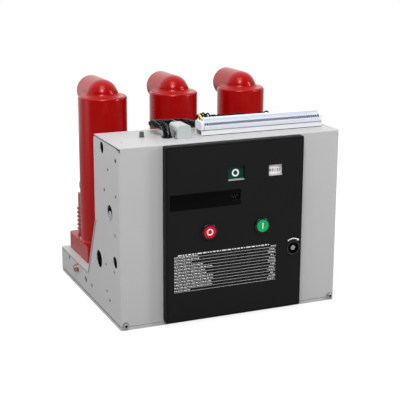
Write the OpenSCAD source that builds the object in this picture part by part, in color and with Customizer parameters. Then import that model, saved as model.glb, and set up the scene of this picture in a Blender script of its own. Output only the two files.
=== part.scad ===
// Indoor vacuum circuit breaker: three cast resin poles on a shelf behind a sheet-metal mechanism box.
// Millimetres. X runs across the front, Y from the front to the rear, Z up from the base.

/* [Frame] */
// Width over the side plates
frame_w = 610; // [540:1:740]
// Height over the top cover
frame_h = 470; // [390:1:570]
// Depth of the mechanism box at its top
box_d = 194; // [160:1:240]
// Depth of the base, front to rear
base_d = 520; // [430:1:630]
// Depth of the pole shelf behind the sloping rear edge
shelf_d = 250; // [205:1:300]
// Height of the shelf's upper face
foot_h = 73; // [58:1:90]
// Height at which the rear edge starts to slope
slope_top_z = 242; // [195:1:300]
// Thickness of the folded side sheets
sheet_t = 2.5; // [2:0.1:3.2]
// Outer radius of the sheet folds
fold_r = 4; // [3.4:0.2:6]
// Thickness of the top cover
cover_t = 3; // [2:0.1:4]
// Depth of the top cover's folded rear lip
cover_lip = 13; // [10:0.5:18]
// Height of the base tray's rim
tray_h = 10; // [8:0.5:14]
// Thickness of the tray's floor and rim
tray_t = 3; // [2:0.1:4]
// Thickness of the pole shelf
shelf_t = 4; // [3:0.1:6]
// Width of the side sheets' inner flanges
flange_w = 16; // [12:0.5:24]

/* [Side plate holes] */
// Diameter of the large inspection hole
inspect_dia = 47; // [39:1:56]
// Diameter of the front inspection hole
front_hole_dia = 32; // [26:1:38]
// Diameter of the upper cable hole
cable_hole_dia = 30; // [25:1:36]
// Diameter of the drain hole in the foot
foot_hole_dia = 18; // [15:1:21]
// Diameter of the fixing holes in the foot and the tray
fixing_dia = 13; // [10:0.5:16]
// Thread diameter of the earthing bolts on the foot
earth_dia = 13; // [11:0.5:14]

/* [Front panel] */
// Width of the moulded panel
panel_w = 382; // [315:1:460]
// How far the panel stands proud of the frame
panel_proud = 21; // [17:0.5:25]
// Height of the panel's lower edge
panel_z = 9; // [6:0.5:14]
// Drop from the frame's top to the panel's top edge
panel_drop = 3; // [2:0.5:8]
// Wall of the moulded panel
panel_wall = 3; // [2:0.1:4]
// Corner radius of the panel
panel_r = 5; // [4:0.5:8]
// Width of the panel's bevelled edge
panel_bevel = 2.5; // [1.5:0.1:4]
// How far the frame's front flanges reach in behind the panel
panel_lap = 4; // [3:0.5:5]

/* [Windows] */
// Width of the position indicator window
indicator_w = 46; // [38:0.5:55]
// Height of the position indicator window
indicator_h = 37; // [31:0.5:44]
// Drop from the panel's top to the indicator's centre
indicator_drop = 81.5; // [68:0.5:98]
// Distance of the counter from the panel's centre
counter_x = 111; // [92:0.5:133]
// Width of the counter window
counter_w = 40; // [33:0.5:48]
// Height of the counter window
counter_h = 29; // [24:0.5:35]
// Drop from the panel's top to the counter's centre
counter_drop = 83; // [69:0.5:100]
// Width of the shallow band that holds the spring window
band_w = 194; // [162:1:200]
// Height of the shallow band
band_h = 41; // [34:0.5:49]
// Drop from the panel's top to the band's centre
band_drop = 143; // [130:0.5:160]
// Distance of the band's right end from the panel's centre
band_end_x = 13; // [11:0.5:16]
// Width of the spring window
spring_w = 26; // [22:0.5:31]
// Height of the spring window
spring_h = 16; // [13:0.5:19]
// Depth of the wells behind the windows
well_d = 8; // [6:0.5:9]
// Wall of the wells
well_wall = 2; // [1.5:0.1:3]
// Thickness of the flags and dials in the wells
flag_t = 2; // [1.5:0.1:2.5]

/* [Push buttons] */
// Diameter of the button caps
button_dia = 32; // [27:0.5:38]
// Distance of each button from the panel's centre
button_x = 74; // [62:0.5:88]
// Height of the buttons' axes above the base
button_z = 241; // [200:0.5:288]
// How far the caps stand out of the panel
button_proud = 6; // [5.5:0.1:8]
// Travel of the buttons
button_travel = 5; // [4:0.1:5]
// Diameter of the button stems
stem_dia = 10; // [8:0.5:12]
// Radial width of the bezel rings
bezel_w = 5; // [4:0.5:7]
// Height of the bezel rings above the panel
bezel_proud = 3; // [2:0.1:4]

/* [Charging point] */
// Distance of the charging point from the panel's centre
charge_x = 166; // [138:0.5:167]
// Height of the charging point above the base
charge_z = 170; // [142:0.5:204]
// Diameter of the charging recess
charge_dia = 31; // [26:0.5:33]
// Diameter of the charging shaft's journal
charge_shaft_dia = 14; // [12:0.5:16]
// Width across the flats of the shaft's six-sided end
charge_flats = 13; // [11:0.5:13.5]

/* [Poles] */
// Distance between neighbouring poles
phase_pitch = 210; // [175:1:250]
// Radius of the pole barrel
pole_r = 67.5; // [56:0.5:81]
// Distance of the pole axes from the base's rear edge
pole_rear = 115; // [107:1:138]
// Height of the barrel's flat top above the shelf
barrel_h = 457; // [381:1:548]
// Radius of the barrel's top edge
barrel_edge_r = 7; // [5:0.5:9]
// Radius of the terminal arms
arm_r = 43.5; // [38:0.5:52]
// Rise of the upper arm's axis above the barrel's top
arm_rise = 0; // [0:0.5:4]
// Draft of the arms: how much their radius shrinks towards the rear end
arm_draft = 2; // [1:0.5:3]
// Reach of the arms behind the pole axis
arm_reach = 106; // [100:1:112]
// Distance between the upper and lower arms' axes
arm_pitch = 275; // [230:1:330]
// Edge radius at the arms' rear ends
arm_edge_r = 3; // [2:0.5:5]
// Radius of the fillet where the upper arm rises from the barrel's top
arm_fillet = 12; // [9:0.5:13]
// Radius of the fillet where the barrel meets the base block
foot_fillet = 5; // [4:0.5:6]
// Width of the cast base block
block_w = 148; // [140:1:178]
// Height of the cast base block
block_h = 48; // [40:0.5:57]
// Reach of the base block in front of the pole axis
block_front = 75; // [70:0.5:90]
// Reach of the base block behind the pole axis
block_rear = 103; // [98:0.5:110]
// Width of the drive housing behind the barrel
housing_w = 104; // [90:1:124]
// Reach of the drive housing behind the pole axis
housing_rear = 92; // [78:0.5:98]
// Height of the drive housing above the shelf
housing_h = 164; // [137:1:196]
// Number of sheds on the drive housing
shed_count = 6; // [4:1:7]
// Spacing of the sheds
shed_pitch = 12; // [10:0.5:13]
// How far the sheds stand out
shed_out = 3; // [2:0.5:4]
// Thickness of each shed
shed_t = 5; // [4:0.5:6]
// Radius of the contact discs in the arms
terminal_r = 30; // [25:0.5:36]
// Depth of the contact discs' seats
terminal_seat = 22; // [18:0.5:26]
// How far the contact discs stand out of the arms
terminal_out = 2; // [1.5:0.1:3]
// Core diameter of the terminal thread
terminal_bore = 14; // [11.5:0.5:17]
// Depth of the terminal thread
terminal_bore_d = 20; // [16:0.5:24]

/* [Top fittings] */
// Distance of the fittings from the front plane
fitting_y = 46; // [40:0.5:55]
// Left end of the terminal row, from the frame's centre
row_start_x = -62; // [-75:0.5:-55]
// Gap between the terminal row and the frame's right side
row_side_gap = 16; // [13:0.5:20]
// Pitch of the terminals
terminal_pitch = 6.5; // [5.2:0.1:8]
// Height of the terminal blocks above their channel
row_h = 26; // [21:0.5:32]
// Depth of the terminal blocks, front to rear
row_d = 46; // [42:0.5:55]
// How far the terminal blocks overhang their channel
row_overhang = 2; // [1:0.5:4]
// Height of the mounting channel under the terminal blocks
rail_h = 15; // [12:0.5:18]
// Sheet thickness of the mounting channel
rail_t = 1.5; // [1.2:0.1:2]
// Thickness of the end stops
stop_t = 8; // [6:0.5:10]
// Left side of the plug connector, from the frame's centre
plug_x = -133; // [-136:0.5:-126]
// Width of the plug connector
plug_w = 37; // [31:0.5:44]
// Depth of the plug connector
plug_d = 56; // [46:0.5:60]
// Height of the plug connector's socket base
plug_base_h = 12; // [10:0.5:15]
// Height of the plug connector's hood
plug_hood_h = 22; // [18:0.5:27]
// Diameter of the wiring loom
loom_dia = 20; // [16:0.5:24]

/* [Main shaft] */
// Diameter of the main shaft
shaft_dia = 20; // [16:0.5:24]
// Distance of the main shaft from the front plane
shaft_y = 70; // [58:0.5:84]
// Height of the main shaft above the base
shaft_z = 284; // [237:0.5:340]
// Thickness of the inner mechanism plates
mech_t = 6; // [5:0.5:8]
// Distance of the inner mechanism plates from the frame's centre
mech_x = 112; // [108:1:134]

/* [Hidden] */

// Every curve is drawn fine
$fn = 64;
// Overlap that lets a cut break through a face
eps = 0.5;
// Gap between pieces that slide on each other
running_gap = 0.05;
// Gap where one piece drops into another
seat_gap = 0.2;
// End play of a shaft or a stem
end_play = 0.3;

// Colours of the finishes
grey_paint = [0.72, 0.72, 0.72];
red_resin = [0.62, 0.04, 0.03];
black_plastic = [0.10, 0.10, 0.10];
white_plastic = [0.88, 0.90, 0.94];
steel = [0.70, 0.70, 0.68];
copper = [0.80, 0.55, 0.40];

// The depth over everything is centred on the origin
front_proud = panel_proud + button_proud;
y_front = -(base_d - front_proud) / 2;
y_rear = y_front + base_d;
half_w = frame_w / 2;
slope_foot_y = base_d - shelf_d;
side_top = frame_h - cover_t;
side_foot_top = foot_h - shelf_t;
return_w = (frame_w - panel_w) / 2 + panel_lap;
// The front folds stop short of the top cover and leave a relief at each upper corner
corner_top = side_top - 10;
inner_w = frame_w - 2 * sheet_t;
// Shadow groove round the upper edge of the tray's rim
groove_h = 2;
groove_d = 1.5;
// Height of the foot's bolts and the place of the earthing bolt from the front plane
foot_bolt_z = side_foot_top - 9;
earth_y = base_d - 152;
earth_z = side_foot_top - 15;
earth_washer_t = 3;
earth_head_h = earth_dia * 0.65;
earth_nut_h = earth_dia * 0.8;
// The inner flanges stop short of the top cover's rear lip
flange_l = box_d - flange_w - cover_t - 1;

// Rear sheet seats inside the side plates
wall_inset = seat_gap;

panel_top = frame_h - panel_drop;
panel_h = panel_top - panel_z;
y_panel = y_front - panel_proud;
indicator_z = panel_top - indicator_drop;
counter_z = panel_top - counter_drop;
band_z = panel_top - band_drop;
band_x = band_end_x - band_w / 2;
spring_x = band_end_x - spring_w / 2;
band_depth = 1;

button_r = button_dia / 2;
sleeve_in_r = button_r + 0.5;
sleeve_out_r = sleeve_in_r + 2.5;
bezel_r = sleeve_in_r + bezel_w;
cap_h = button_proud + 8;
stem_r = stem_dia / 2;
// Room behind the cap at the end of its travel, and the sleeve's floor behind that
cap_room = 1;
sleeve_floor = 3;
guide_l = 12;
y_cap_back = y_panel - button_proud + cap_h;
y_floor = y_cap_back + button_travel + cap_room;
y_guide = y_floor + sleeve_floor;
collar_t = 3;

charge_r = charge_dia / 2;
charge_ring_r = charge_r + 4;
charge_tube_r = charge_r + 2.5;
charge_depth = 16;
tip_inset = 0.5;
bush_l = 14;
journal_r = charge_shaft_dia / 2;
thrust_r = journal_r + 3;
y_bush = y_panel + charge_depth;

pole_y = y_rear - pole_rear;
upper_arm_z = barrel_h + arm_rise;
lower_arm_z = upper_arm_z - arm_pitch;
// The dome's centre lies a little behind the pole axis
dome_back = 3;
block_corner_r = 8;
housing_corner_r = 10;
shed_base_z = block_h + 8;

y_fitting = y_front + fitting_y;
row_end_x = half_w - row_side_gap;
row_y = y_fitting + 11;
terminal_count = floor((row_end_x - row_start_x - 2 * stop_t) / terminal_pitch);
row_l = terminal_count * terminal_pitch;
row_x = row_start_x + stop_t;
row_z = frame_h + rail_h;
rail_w = row_d - 2 * row_overhang;

plug_y = y_fitting;
plug_hood_z = frame_h + plug_base_h;

loom_r = loom_dia / 2;
// Place where the loom comes up through the top cover
loom_x = -149;
loom_y = 76;
grommet_neck_r = loom_r + 2.5;
grommet_r = grommet_neck_r + 1.5;
grommet_h = 3;
// Height of the loom's axis where it lies on the cover, and its depth behind the terminal row
lie = loom_r + end_play;
back = fitting_y + 11 + row_d + loom_r + 1;

y_shaft = y_front + shaft_y;
shaft_r = shaft_dia / 2;
// Hubs on the shaft's ends, and the side plates' holes around them
hub_r = shaft_r + 2;
hub_l = 10;
shaft_hole_rise = 6;
shaft_hole_back = 4;
shaft_hole_dia = 2 * (hub_r + norm([shaft_hole_rise, shaft_hole_back]) + 1);
mech_margin = 12;
mech_top = side_top - 30;
collar_r = shaft_r + 6;
collar_w = 8;

// A rectangle with rounded corners, centred in X and running from y0 to y1
module rounded_plan(w, y0, y1, r) {
    translate([-w / 2 + r, y0]) square([w - 2 * r, y1 - y0]);
    translate([-w / 2, y0 + r]) square([w, y1 - y0 - 2 * r]);
    for (x = [-w / 2 + r, w / 2 - r])
        for (y = [y0 + r, y1 - r])
            translate([x, y]) circle(r);
}

// Turns a plan drawn in X and Y so that it stands in X and Z and grows towards +Y from y
module stand_at(y) {
    translate([0, y, 0]) rotate([90, 0, 0]) mirror([0, 0, 1]) children();
}

// A cylinder along +Y from y0 to y1
module rod_y(r, y0, y1) {
    translate([0, y0, 0]) rotate([-90, 0, 0]) cylinder(r = r, h = y1 - y0);
}

// A cylinder along +X from x0 to x1
module rod_x(r, x0, x1) {
    translate([x0, 0, 0]) rotate([0, 90, 0]) cylinder(r = r, h = x1 - x0);
}

// A quarter fold of sheet: outer corner at the origin, the sheet leaving along +X and +Y
module fold_plan(r, t) {
    intersection() {
        square([r, r]);
        translate([r, r]) difference() {
            circle(r);
            circle(r - t);
        }
    }
}

// Outline of a side plate in depth and height, from behind the front fold
module side_outline() {
    polygon([
        [fold_r, tray_h],
        [slope_foot_y, tray_h],
        [slope_foot_y, foot_h],
        [box_d, slope_top_z],
        [box_d, side_top - fold_r],
        [fold_r, side_top - fold_r]
    ]);
}

// Round holes of a side plate, as [depth, height, diameter]; the last lets the main shaft through with room above it
function side_holes() = [
    [slope_foot_y * 0.62, 141, inspect_dia],
    [39, 169, front_hole_dia],
    [130, side_top - 21, cable_hole_dia],
    [shaft_y + shaft_hole_back, shaft_z + shaft_hole_rise, shaft_hole_dia]
];

// Round holes of a foot plate, as [depth, height, diameter]
function foot_holes() = [
    [slope_foot_y + 22, 44, foot_hole_dia],
    [earth_y, earth_z, earth_dia + 1],
    [base_d - 74, foot_bolt_z, fixing_dia]
];

// The left side plate: a sheet folded round the front corner and in under the top cover
module side_plate() {
    difference() {
        union() {
            rotate([90, 0, 90]) linear_extrude(sheet_t) side_outline();
            translate([0, 0, tray_h]) linear_extrude(corner_top - tray_h) fold_plan(fold_r, sheet_t);
            translate([fold_r, 0, tray_h]) cube([return_w - fold_r, sheet_t, side_top - tray_h]);
            translate([0, flange_w, side_top]) rotate([-90, 0, 0])
                linear_extrude(flange_l) fold_plan(fold_r, sheet_t);
            translate([fold_r, flange_w, side_top - sheet_t])
                cube([flange_w - fold_r, flange_l, sheet_t]);
        }
        for (h = side_holes())
            translate([0, h[0], h[1]]) rod_x(h[2] / 2, -eps, sheet_t + eps);
    }
}

// The left foot plate, in line with the side plate, under the side of the shelf
module foot_plate() {
    difference() {
        translate([0, slope_foot_y, tray_h]) cube([sheet_t, shelf_d, side_foot_top - tray_h]);
        for (h = foot_holes())
            translate([0, h[0], h[1]]) rod_x(h[2] / 2, -eps, sheet_t + eps);
    }
}

module left_side_plate() {
    color(grey_paint) translate([-half_w, y_front, 0]) side_plate();
}

module right_side_plate() {
    color(grey_paint) mirror([1, 0, 0]) translate([-half_w, y_front, 0]) side_plate();
}

module left_foot_plate() {
    color(grey_paint) translate([-half_w, y_front, 0]) foot_plate();
}

module right_foot_plate() {
    color(grey_paint) mirror([1, 0, 0]) translate([-half_w, y_front, 0]) foot_plate();
}

// Earthing bolt through each foot plate: six-sided head, washer, thread and the nut behind the sheet
module earth_bolts() {
    across = earth_dia * 1.7 / cos(30);
    color(steel)
        for (m = [0, 1])
            mirror([m, 0, 0]) translate([-half_w, y_front + earth_y, earth_z]) {
                rod_x(earth_dia / 2, -earth_washer_t - eps, sheet_t + earth_nut_h + 4);
                rod_x(earth_dia, -earth_washer_t, 0);
                rod_x(across / 2, -earth_washer_t - earth_head_h, -earth_washer_t, $fn = 6);
                rod_x(across / 2, sheet_t, sheet_t + earth_nut_h, $fn = 6);
            }
}

// Shallow pan under the whole breaker, with four fixing holes
module base_tray() {
    hole_x = half_w - 40;
    hole_y = [y_front + 60, y_rear - 40];
    color(grey_paint) difference() {
        union() {
            linear_extrude(tray_h - groove_h) rounded_plan(frame_w, y_front, y_rear, fold_r);
            linear_extrude(tray_h)
                rounded_plan(frame_w - 2 * groove_d, y_front + groove_d, y_rear - groove_d, fold_r - groove_d);
        }
        translate([0, 0, tray_t])
            linear_extrude(tray_h)
                rounded_plan(frame_w - 2 * tray_t, y_front + tray_t, y_rear - tray_t, fold_r - tray_t / 2);
        for (x = [-hole_x, hole_x])
            for (y = hole_y)
                translate([x, y, -eps]) cylinder(d = fixing_dia, h = tray_t + 2 * eps);
    }
}

// Flat cover with a rolled front edge and a lip folded down at the rear
module top_cover() {
    lip_w = frame_w - 2 * fold_r;
    y_back = y_front + box_d;
    color(grey_paint) {
        difference() {
            translate([-half_w, y_front + cover_t, side_top])
                cube([frame_w, box_d - cover_t - fold_r, cover_t]);
            translate([loom_x, y_front + loom_y, side_top - eps])
                cylinder(r = grommet_neck_r + seat_gap, h = cover_t + 2 * eps);
        }
        translate([-half_w, y_front + cover_t, side_top]) rotate([90, 0, 90]) linear_extrude(frame_w)
            intersection() {
                circle(cover_t);
                translate([-cover_t, 0]) square([cover_t + eps, cover_t]);
            }
        translate([0, y_back, 0]) mirror([0, 1, 0]) {
            translate([lip_w / 2, 0, frame_h]) rotate([0, -90, 0])
                linear_extrude(lip_w) mirror([1, 0, 0]) fold_plan(fold_r, cover_t);
            translate([-lip_w / 2, 0, side_top - cover_lip])
                cube([lip_w, cover_t, cover_lip + cover_t - fold_r]);
        }
    }
}

// Rear sheet: upright behind the box, then sloping back to the shelf
module rear_wall() {
    top = side_top - cover_lip - 1;
    color(grey_paint) translate([-inner_w / 2 + wall_inset, y_front, 0]) rotate([90, 0, 90])
        linear_extrude(inner_w - 2 * wall_inset) polygon([
            [box_d - sheet_t, top],
            [box_d, top],
            [box_d, slope_top_z],
            [slope_foot_y, foot_h],
            [slope_foot_y, side_foot_top],
            [slope_foot_y - sheet_t, side_foot_top],
            [slope_foot_y - sheet_t, foot_h],
            [box_d - sheet_t, slope_top_z]
        ]);
}

// Deck that carries the poles
module pole_shelf() {
    color(grey_paint) translate([-half_w, y_front + slope_foot_y, side_foot_top])
        cube([frame_w, shelf_d, shelf_t]);
}

// Closing sheet under the rear of the shelf
module rear_skirt() {
    color(grey_paint) translate([-inner_w / 2 + wall_inset, y_rear - tray_t, tray_h])
        cube([inner_w - 2 * wall_inset, sheet_t, side_foot_top - tray_h]);
}

// Inner plate that carries the main shaft, standing on the tray's floor
module mechanism_plate() {
    color(steel) difference() {
        translate([-mech_t / 2, y_front + mech_margin, tray_t])
            cube([mech_t, box_d - 2 * mech_margin - sheet_t, mech_top - tray_t]);
        translate([0, y_shaft, shaft_z]) rod_x(shaft_r + running_gap, -mech_t, mech_t);
    }
}

module left_mechanism_plate() {
    translate([-mech_x, 0, 0]) mechanism_plate();
}

module right_mechanism_plate() {
    translate([mech_x, 0, 0]) mechanism_plate();
}

// Cross shaft with a hub on each end, flush with the side plates
module main_shaft() {
    color(steel) translate([0, y_shaft, shaft_z]) {
        rod_x(shaft_r, -half_w, half_w);
        for (x = [-half_w, half_w - hub_l])
            rod_x(hub_r, x, x + hub_l);
    }
}

// Set collars that keep the cross shaft in place against the mechanism plates
module shaft_collars() {
    inner_x = mech_x + mech_t / 2;
    color(steel) translate([0, y_shaft, shaft_z])
        for (m = [0, 1])
            mirror([m, 0, 0]) difference() {
                rod_x(collar_r, inner_x, inner_x + collar_w);
                rod_x(shaft_r + running_gap, inner_x - eps, inner_x + collar_w + eps);
            }
}

// The closed well behind a window, open to the front
module window_well(x, z, w, h) {
    translate([x - w / 2 - well_wall, y_panel, z - h / 2 - well_wall])
        cube([w + 2 * well_wall, panel_wall + well_d, h + 2 * well_wall]);
}

// The space in front of a well's floor
module window_cut(x, z, w, h) {
    translate([x - w / 2, y_panel - eps, z - h / 2])
        cube([w, panel_wall + well_d - well_wall + eps, h]);
}

// Moulded cover over the frame's front opening
module front_panel() {
    color(black_plastic) difference() {
        union() {
            difference() {
                hull() {
                    stand_at(y_panel + panel_bevel)
                        linear_extrude(panel_proud - panel_bevel)
                            rounded_plan(panel_w, panel_z, panel_top, panel_r, $fn = 32);
                    stand_at(y_panel)
                        linear_extrude(panel_bevel)
                            rounded_plan(panel_w - 2 * panel_bevel, panel_z + panel_bevel,
                                panel_top - panel_bevel, panel_r - panel_bevel, $fn = 32);
                }
                translate([-panel_w / 2 + panel_wall, y_panel + panel_wall, panel_z + panel_wall])
                    cube([panel_w - 2 * panel_wall, panel_proud, panel_h - 2 * panel_wall]);
            }
            window_well(0, indicator_z, indicator_w, indicator_h);
            window_well(counter_x, counter_z, counter_w, counter_h);
            window_well(spring_x, band_z, spring_w, spring_h);
        }
        translate([band_x - band_w / 2, y_panel - eps, band_z - band_h / 2])
            cube([band_w, band_depth + eps, band_h]);
        window_cut(0, indicator_z, indicator_w, indicator_h);
        window_cut(counter_x, counter_z, counter_w, counter_h);
        window_cut(spring_x, band_z, spring_w, spring_h);
        for (x = [-button_x, button_x])
            translate([x, 0, button_z]) rod_y(sleeve_out_r + seat_gap, y_panel - eps, y_front);
        translate([charge_x, 0, charge_z]) rod_y(charge_tube_r + seat_gap, y_panel - eps, y_front);
    }
}

// A flag or dial that lies on the floor of a window's well
module well_plate(x, z, w, h, tint) {
    y_back = y_panel + panel_wall + well_d - well_wall;
    color(tint) translate([x - w / 2 + seat_gap, y_back - flag_t, z - h / 2 + seat_gap])
        cube([w - 2 * seat_gap, flag_t, h - 2 * seat_gap]);
}

module indicator_flag() {
    well_plate(0, indicator_z, indicator_w, indicator_h, [0.05, 0.40, 0.25]);
}

module operation_counter() {
    well_plate(counter_x, counter_z, counter_w, counter_h, white_plastic);
}

module spring_flag() {
    well_plate(spring_x, band_z, spring_w, spring_h, white_plastic);
}

// Ring and guide sleeve of a push button
module button_bezel(x) {
    color(black_plastic) translate([x, 0, button_z]) difference() {
        union() {
            rod_y(bezel_r, y_panel - bezel_proud, y_panel);
            rod_y(sleeve_out_r, y_panel - eps, y_guide);
            rod_y(stem_r + 5, y_guide - eps, y_guide + guide_l);
        }
        rod_y(sleeve_in_r, y_panel - bezel_proud - eps, y_floor);
        rod_y(stem_r + running_gap, y_floor - eps, y_guide + guide_l + eps);
    }
}

// Push button: a cap with a dished face, its stem and the clip behind the guide
module push_button(x, tint) {
    y_cap = y_panel - button_proud;
    y_clip = y_guide + guide_l + end_play;
    dish_r = 90;
    dish_depth = 0.8;
    color(tint) translate([x, 0, button_z]) difference() {
        union() {
            rod_y(button_r, y_cap, y_cap_back);
            rod_y(stem_r, y_cap_back - eps, y_clip + collar_t);
            rod_y(stem_r + 3, y_clip, y_clip + collar_t);
        }
        translate([0, y_cap - dish_r + dish_depth, 0]) sphere(dish_r);
    }
}

module open_button_bezel() {
    button_bezel(-button_x);
}

module close_button_bezel() {
    button_bezel(button_x);
}

module open_button() {
    push_button(-button_x, [0.75, 0.08, 0.08]);
}

module close_button() {
    push_button(button_x, [0.05, 0.45, 0.20]);
}

// Round recess with a bush for the charging shaft
module charging_socket() {
    color(black_plastic) translate([charge_x, 0, charge_z]) difference() {
        union() {
            rod_y(charge_ring_r, y_panel - bezel_proud / 2, y_panel);
            rod_y(charge_tube_r, y_panel - eps, y_bush + bush_l);
        }
        rod_y(charge_r, y_panel - bezel_proud, y_bush);
        rod_y(journal_r + running_gap, y_bush - eps, y_bush + bush_l + eps);
    }
}

// Shaft with a six-sided end for the charging handle and a thrust collar on each side of its bush
module charging_shaft() {
    y_tip = y_panel + tip_inset;
    y_back = y_bush + bush_l + end_play;
    color(steel) translate([charge_x, 0, charge_z]) {
        rod_y(journal_r, y_bush - collar_t, y_back + 26);
        rod_y(thrust_r, y_bush - end_play - collar_t, y_bush - end_play);
        rod_y(thrust_r, y_back, y_back + collar_t);
        translate([0, y_tip, 0]) rotate([-90, 0, 0])
            cylinder(d = charge_flats / cos(30), h = y_bush - collar_t - y_tip, $fn = 6);
    }
}

// Barrel of a pole with a rounded top edge
module barrel() {
    rotate_extrude() {
        square([pole_r - barrel_edge_r, barrel_h]);
        square([pole_r, barrel_h - barrel_edge_r]);
        translate([pole_r - barrel_edge_r, barrel_h - barrel_edge_r]) circle(barrel_edge_r);
    }
}

// Arm along +Y, domed at the front, drafted towards the rear and with a softened rear edge
module domed_arm(l) {
    end_r = arm_r - arm_draft;
    rotate([-90, 0, 0]) rotate_extrude() {
        intersection() {
            circle(arm_r);
            translate([0, -arm_r]) square([arm_r, arm_r]);
        }
        polygon([
            [0, 0],
            [arm_r, 0],
            [end_r, l - arm_edge_r],
            [end_r - arm_edge_r, l],
            [0, l]
        ]);
        translate([end_r - arm_edge_r, l - arm_edge_r]) circle(arm_edge_r);
    }
}

// Section of the fillet beside the upper arm: distance from the arm's middle, and height
module fillet_plan() {
    foot = sqrt(arm_r * arm_r - arm_rise * arm_rise);
    difference() {
        translate([foot - 2, -eps]) square([arm_fillet + 2, arm_fillet + eps]);
        translate([foot + arm_fillet, arm_fillet]) circle(arm_fillet);
    }
}

// Fillet round the dome and along both sides of the upper arm, on the flat of the barrel's top
module top_fillet() {
    translate([0, 0, barrel_h]) intersection() {
        translate([0, 0, -1]) cylinder(r = pole_r - barrel_edge_r, h = arm_fillet + 2);
        translate([0, dome_back, 0]) union() {
            rotate_extrude() fillet_plan();
            for (m = [0, 1])
                mirror([m, 0, 0]) rotate([-90, 0, 0]) mirror([0, 1, 0]) linear_extrude(pole_r) fillet_plan();
        }
    }
}

// Fillet round the barrel's foot, on the base block
module foot_fillet_ring() {
    translate([0, 0, block_h]) rotate_extrude() difference() {
        translate([pole_r - 2, -eps]) square([foot_fillet + 2, foot_fillet + eps]);
        translate([pole_r + foot_fillet, foot_fillet]) circle(foot_fillet);
    }
}

// Plan of the drive housing behind the barrel, grown by a margin on its outer sides
module housing_plan(grow) {
    rounded_plan(housing_w + 2 * grow, 0, housing_rear + grow, housing_corner_r);
}

// One pole as a single casting, its axis at the origin and its foot at height 0
module pole_casting() {
    color(red_resin) difference() {
        union() {
            linear_extrude(block_h) rounded_plan(block_w, -block_front, block_rear, block_corner_r);
            barrel();
            foot_fillet_ring();
            linear_extrude(housing_h) housing_plan(0);
            for (i = [0 : shed_count - 1])
                translate([0, 0, shed_base_z + i * shed_pitch]) linear_extrude(shed_t) housing_plan(shed_out);
            translate([0, dome_back, upper_arm_z]) domed_arm(arm_reach - dome_back);
            top_fillet();
            translate([0, 0, lower_arm_z]) domed_arm(arm_reach);
        }
        for (z = [upper_arm_z, lower_arm_z])
            translate([0, 0, z]) rod_y(terminal_r + seat_gap, arm_reach - terminal_seat, arm_reach + eps);
    }
}

// Contact disc with a threaded hole, seated in the rear end of an arm
module contact_disc(z) {
    y_face = arm_reach + terminal_out;
    color(copper) translate([0, 0, z]) difference() {
        rod_y(terminal_r, arm_reach - terminal_seat, y_face);
        rod_y(terminal_bore / 2, y_face - terminal_bore_d, y_face + eps);
    }
}

// Puts a piece on the shelf at one of the three pole places: -1, 0 or 1
module at_pole(place) {
    translate([place * phase_pitch, pole_y, foot_h]) children();
}

module pole_left() {
    at_pole(-1) pole_casting();
}

module pole_middle() {
    at_pole(0) pole_casting();
}

module pole_right() {
    at_pole(1) pole_casting();
}

module upper_terminal_left() {
    at_pole(-1) contact_disc(upper_arm_z);
}

module upper_terminal_middle() {
    at_pole(0) contact_disc(upper_arm_z);
}

module upper_terminal_right() {
    at_pole(1) contact_disc(upper_arm_z);
}

module lower_terminal_left() {
    at_pole(-1) contact_disc(lower_arm_z);
}

module lower_terminal_middle() {
    at_pole(0) contact_disc(lower_arm_z);
}

module lower_terminal_right() {
    at_pole(1) contact_disc(lower_arm_z);
}

// Folded channel on the top cover that carries the terminals
module terminal_rail() {
    color(grey_paint) translate([row_start_x, row_y + row_overhang, frame_h]) rotate([90, 0, 90])
        linear_extrude(row_l + 2 * stop_t) difference() {
            square([rail_w, rail_h]);
            translate([rail_t, -eps]) square([rail_w - 2 * rail_t, rail_h - rail_t + eps]);
        }
}

// Stepped side profile of a terminal block, in depth and height: a wiring face, a screw slope and a marker ridge
module terminal_profile() {
    face_z = row_h * 0.35;
    slope_z = row_h * 0.70;
    slope_y = row_d * 0.20;
    ridge_y = row_d * 0.30;
    polygon([
        [0, 0],
        [row_d, 0],
        [row_d, face_z],
        [row_d - slope_y, slope_z],
        [row_d - ridge_y, slope_z],
        [row_d - ridge_y, row_h],
        [ridge_y, row_h],
        [ridge_y, slope_z],
        [slope_y, slope_z],
        [0, face_z]
    ]);
}

// Row of terminals with a screw well in the slope in front of and behind each marker ridge
module terminal_blocks() {
    well_w = terminal_pitch * 0.55;
    well_y = row_d * 0.10;
    well_in = row_d * 0.10;
    well_bottom = row_h * 0.20;
    color(white_plastic) translate([row_x, row_y, row_z]) difference() {
        rotate([90, 0, 90]) linear_extrude(row_l) terminal_profile();
        for (i = [0 : terminal_count - 1])
            translate([(i + 0.5) * terminal_pitch - well_w / 2, 0, well_bottom])
                for (y = [well_y, row_d - well_y - well_in])
                    translate([0, y, 0]) cube([well_w, well_in, row_h]);
    }
}

// Clamps that keep the terminal row together on its rail
module end_stops() {
    stop_h = row_h * 0.8;
    stop_d = row_d * 0.9;
    stop_y = row_y + (row_d - stop_d) / 2;
    color(white_plastic)
        for (x = [row_start_x, row_x + row_l])
            translate([x, stop_y, row_z]) rotate([90, 0, 90]) linear_extrude(stop_t)
                rounded_plan_corner(stop_d, stop_h, 6);
}

// A rectangle from the origin whose two upper corners are rounded
module rounded_plan_corner(w, h, r) {
    square([w, h - r]);
    translate([r, 0]) square([w - 2 * r, h]);
    for (x = [r, w - r])
        translate([x, h - r]) circle(r);
}

// Socket half of the plug connector on the top cover
module connector_base() {
    color(grey_paint) translate([plug_x, plug_y, frame_h]) cube([plug_w, plug_d, plug_base_h]);
}

// Hood of the plug, with rounded shoulders
module connector_hood() {
    color(grey_paint) translate([plug_x, plug_y + plug_d, plug_hood_z]) rotate([90, 0, 0])
        linear_extrude(plug_d) rounded_plan_corner(plug_w, plug_hood_h, 9);
}

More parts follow.
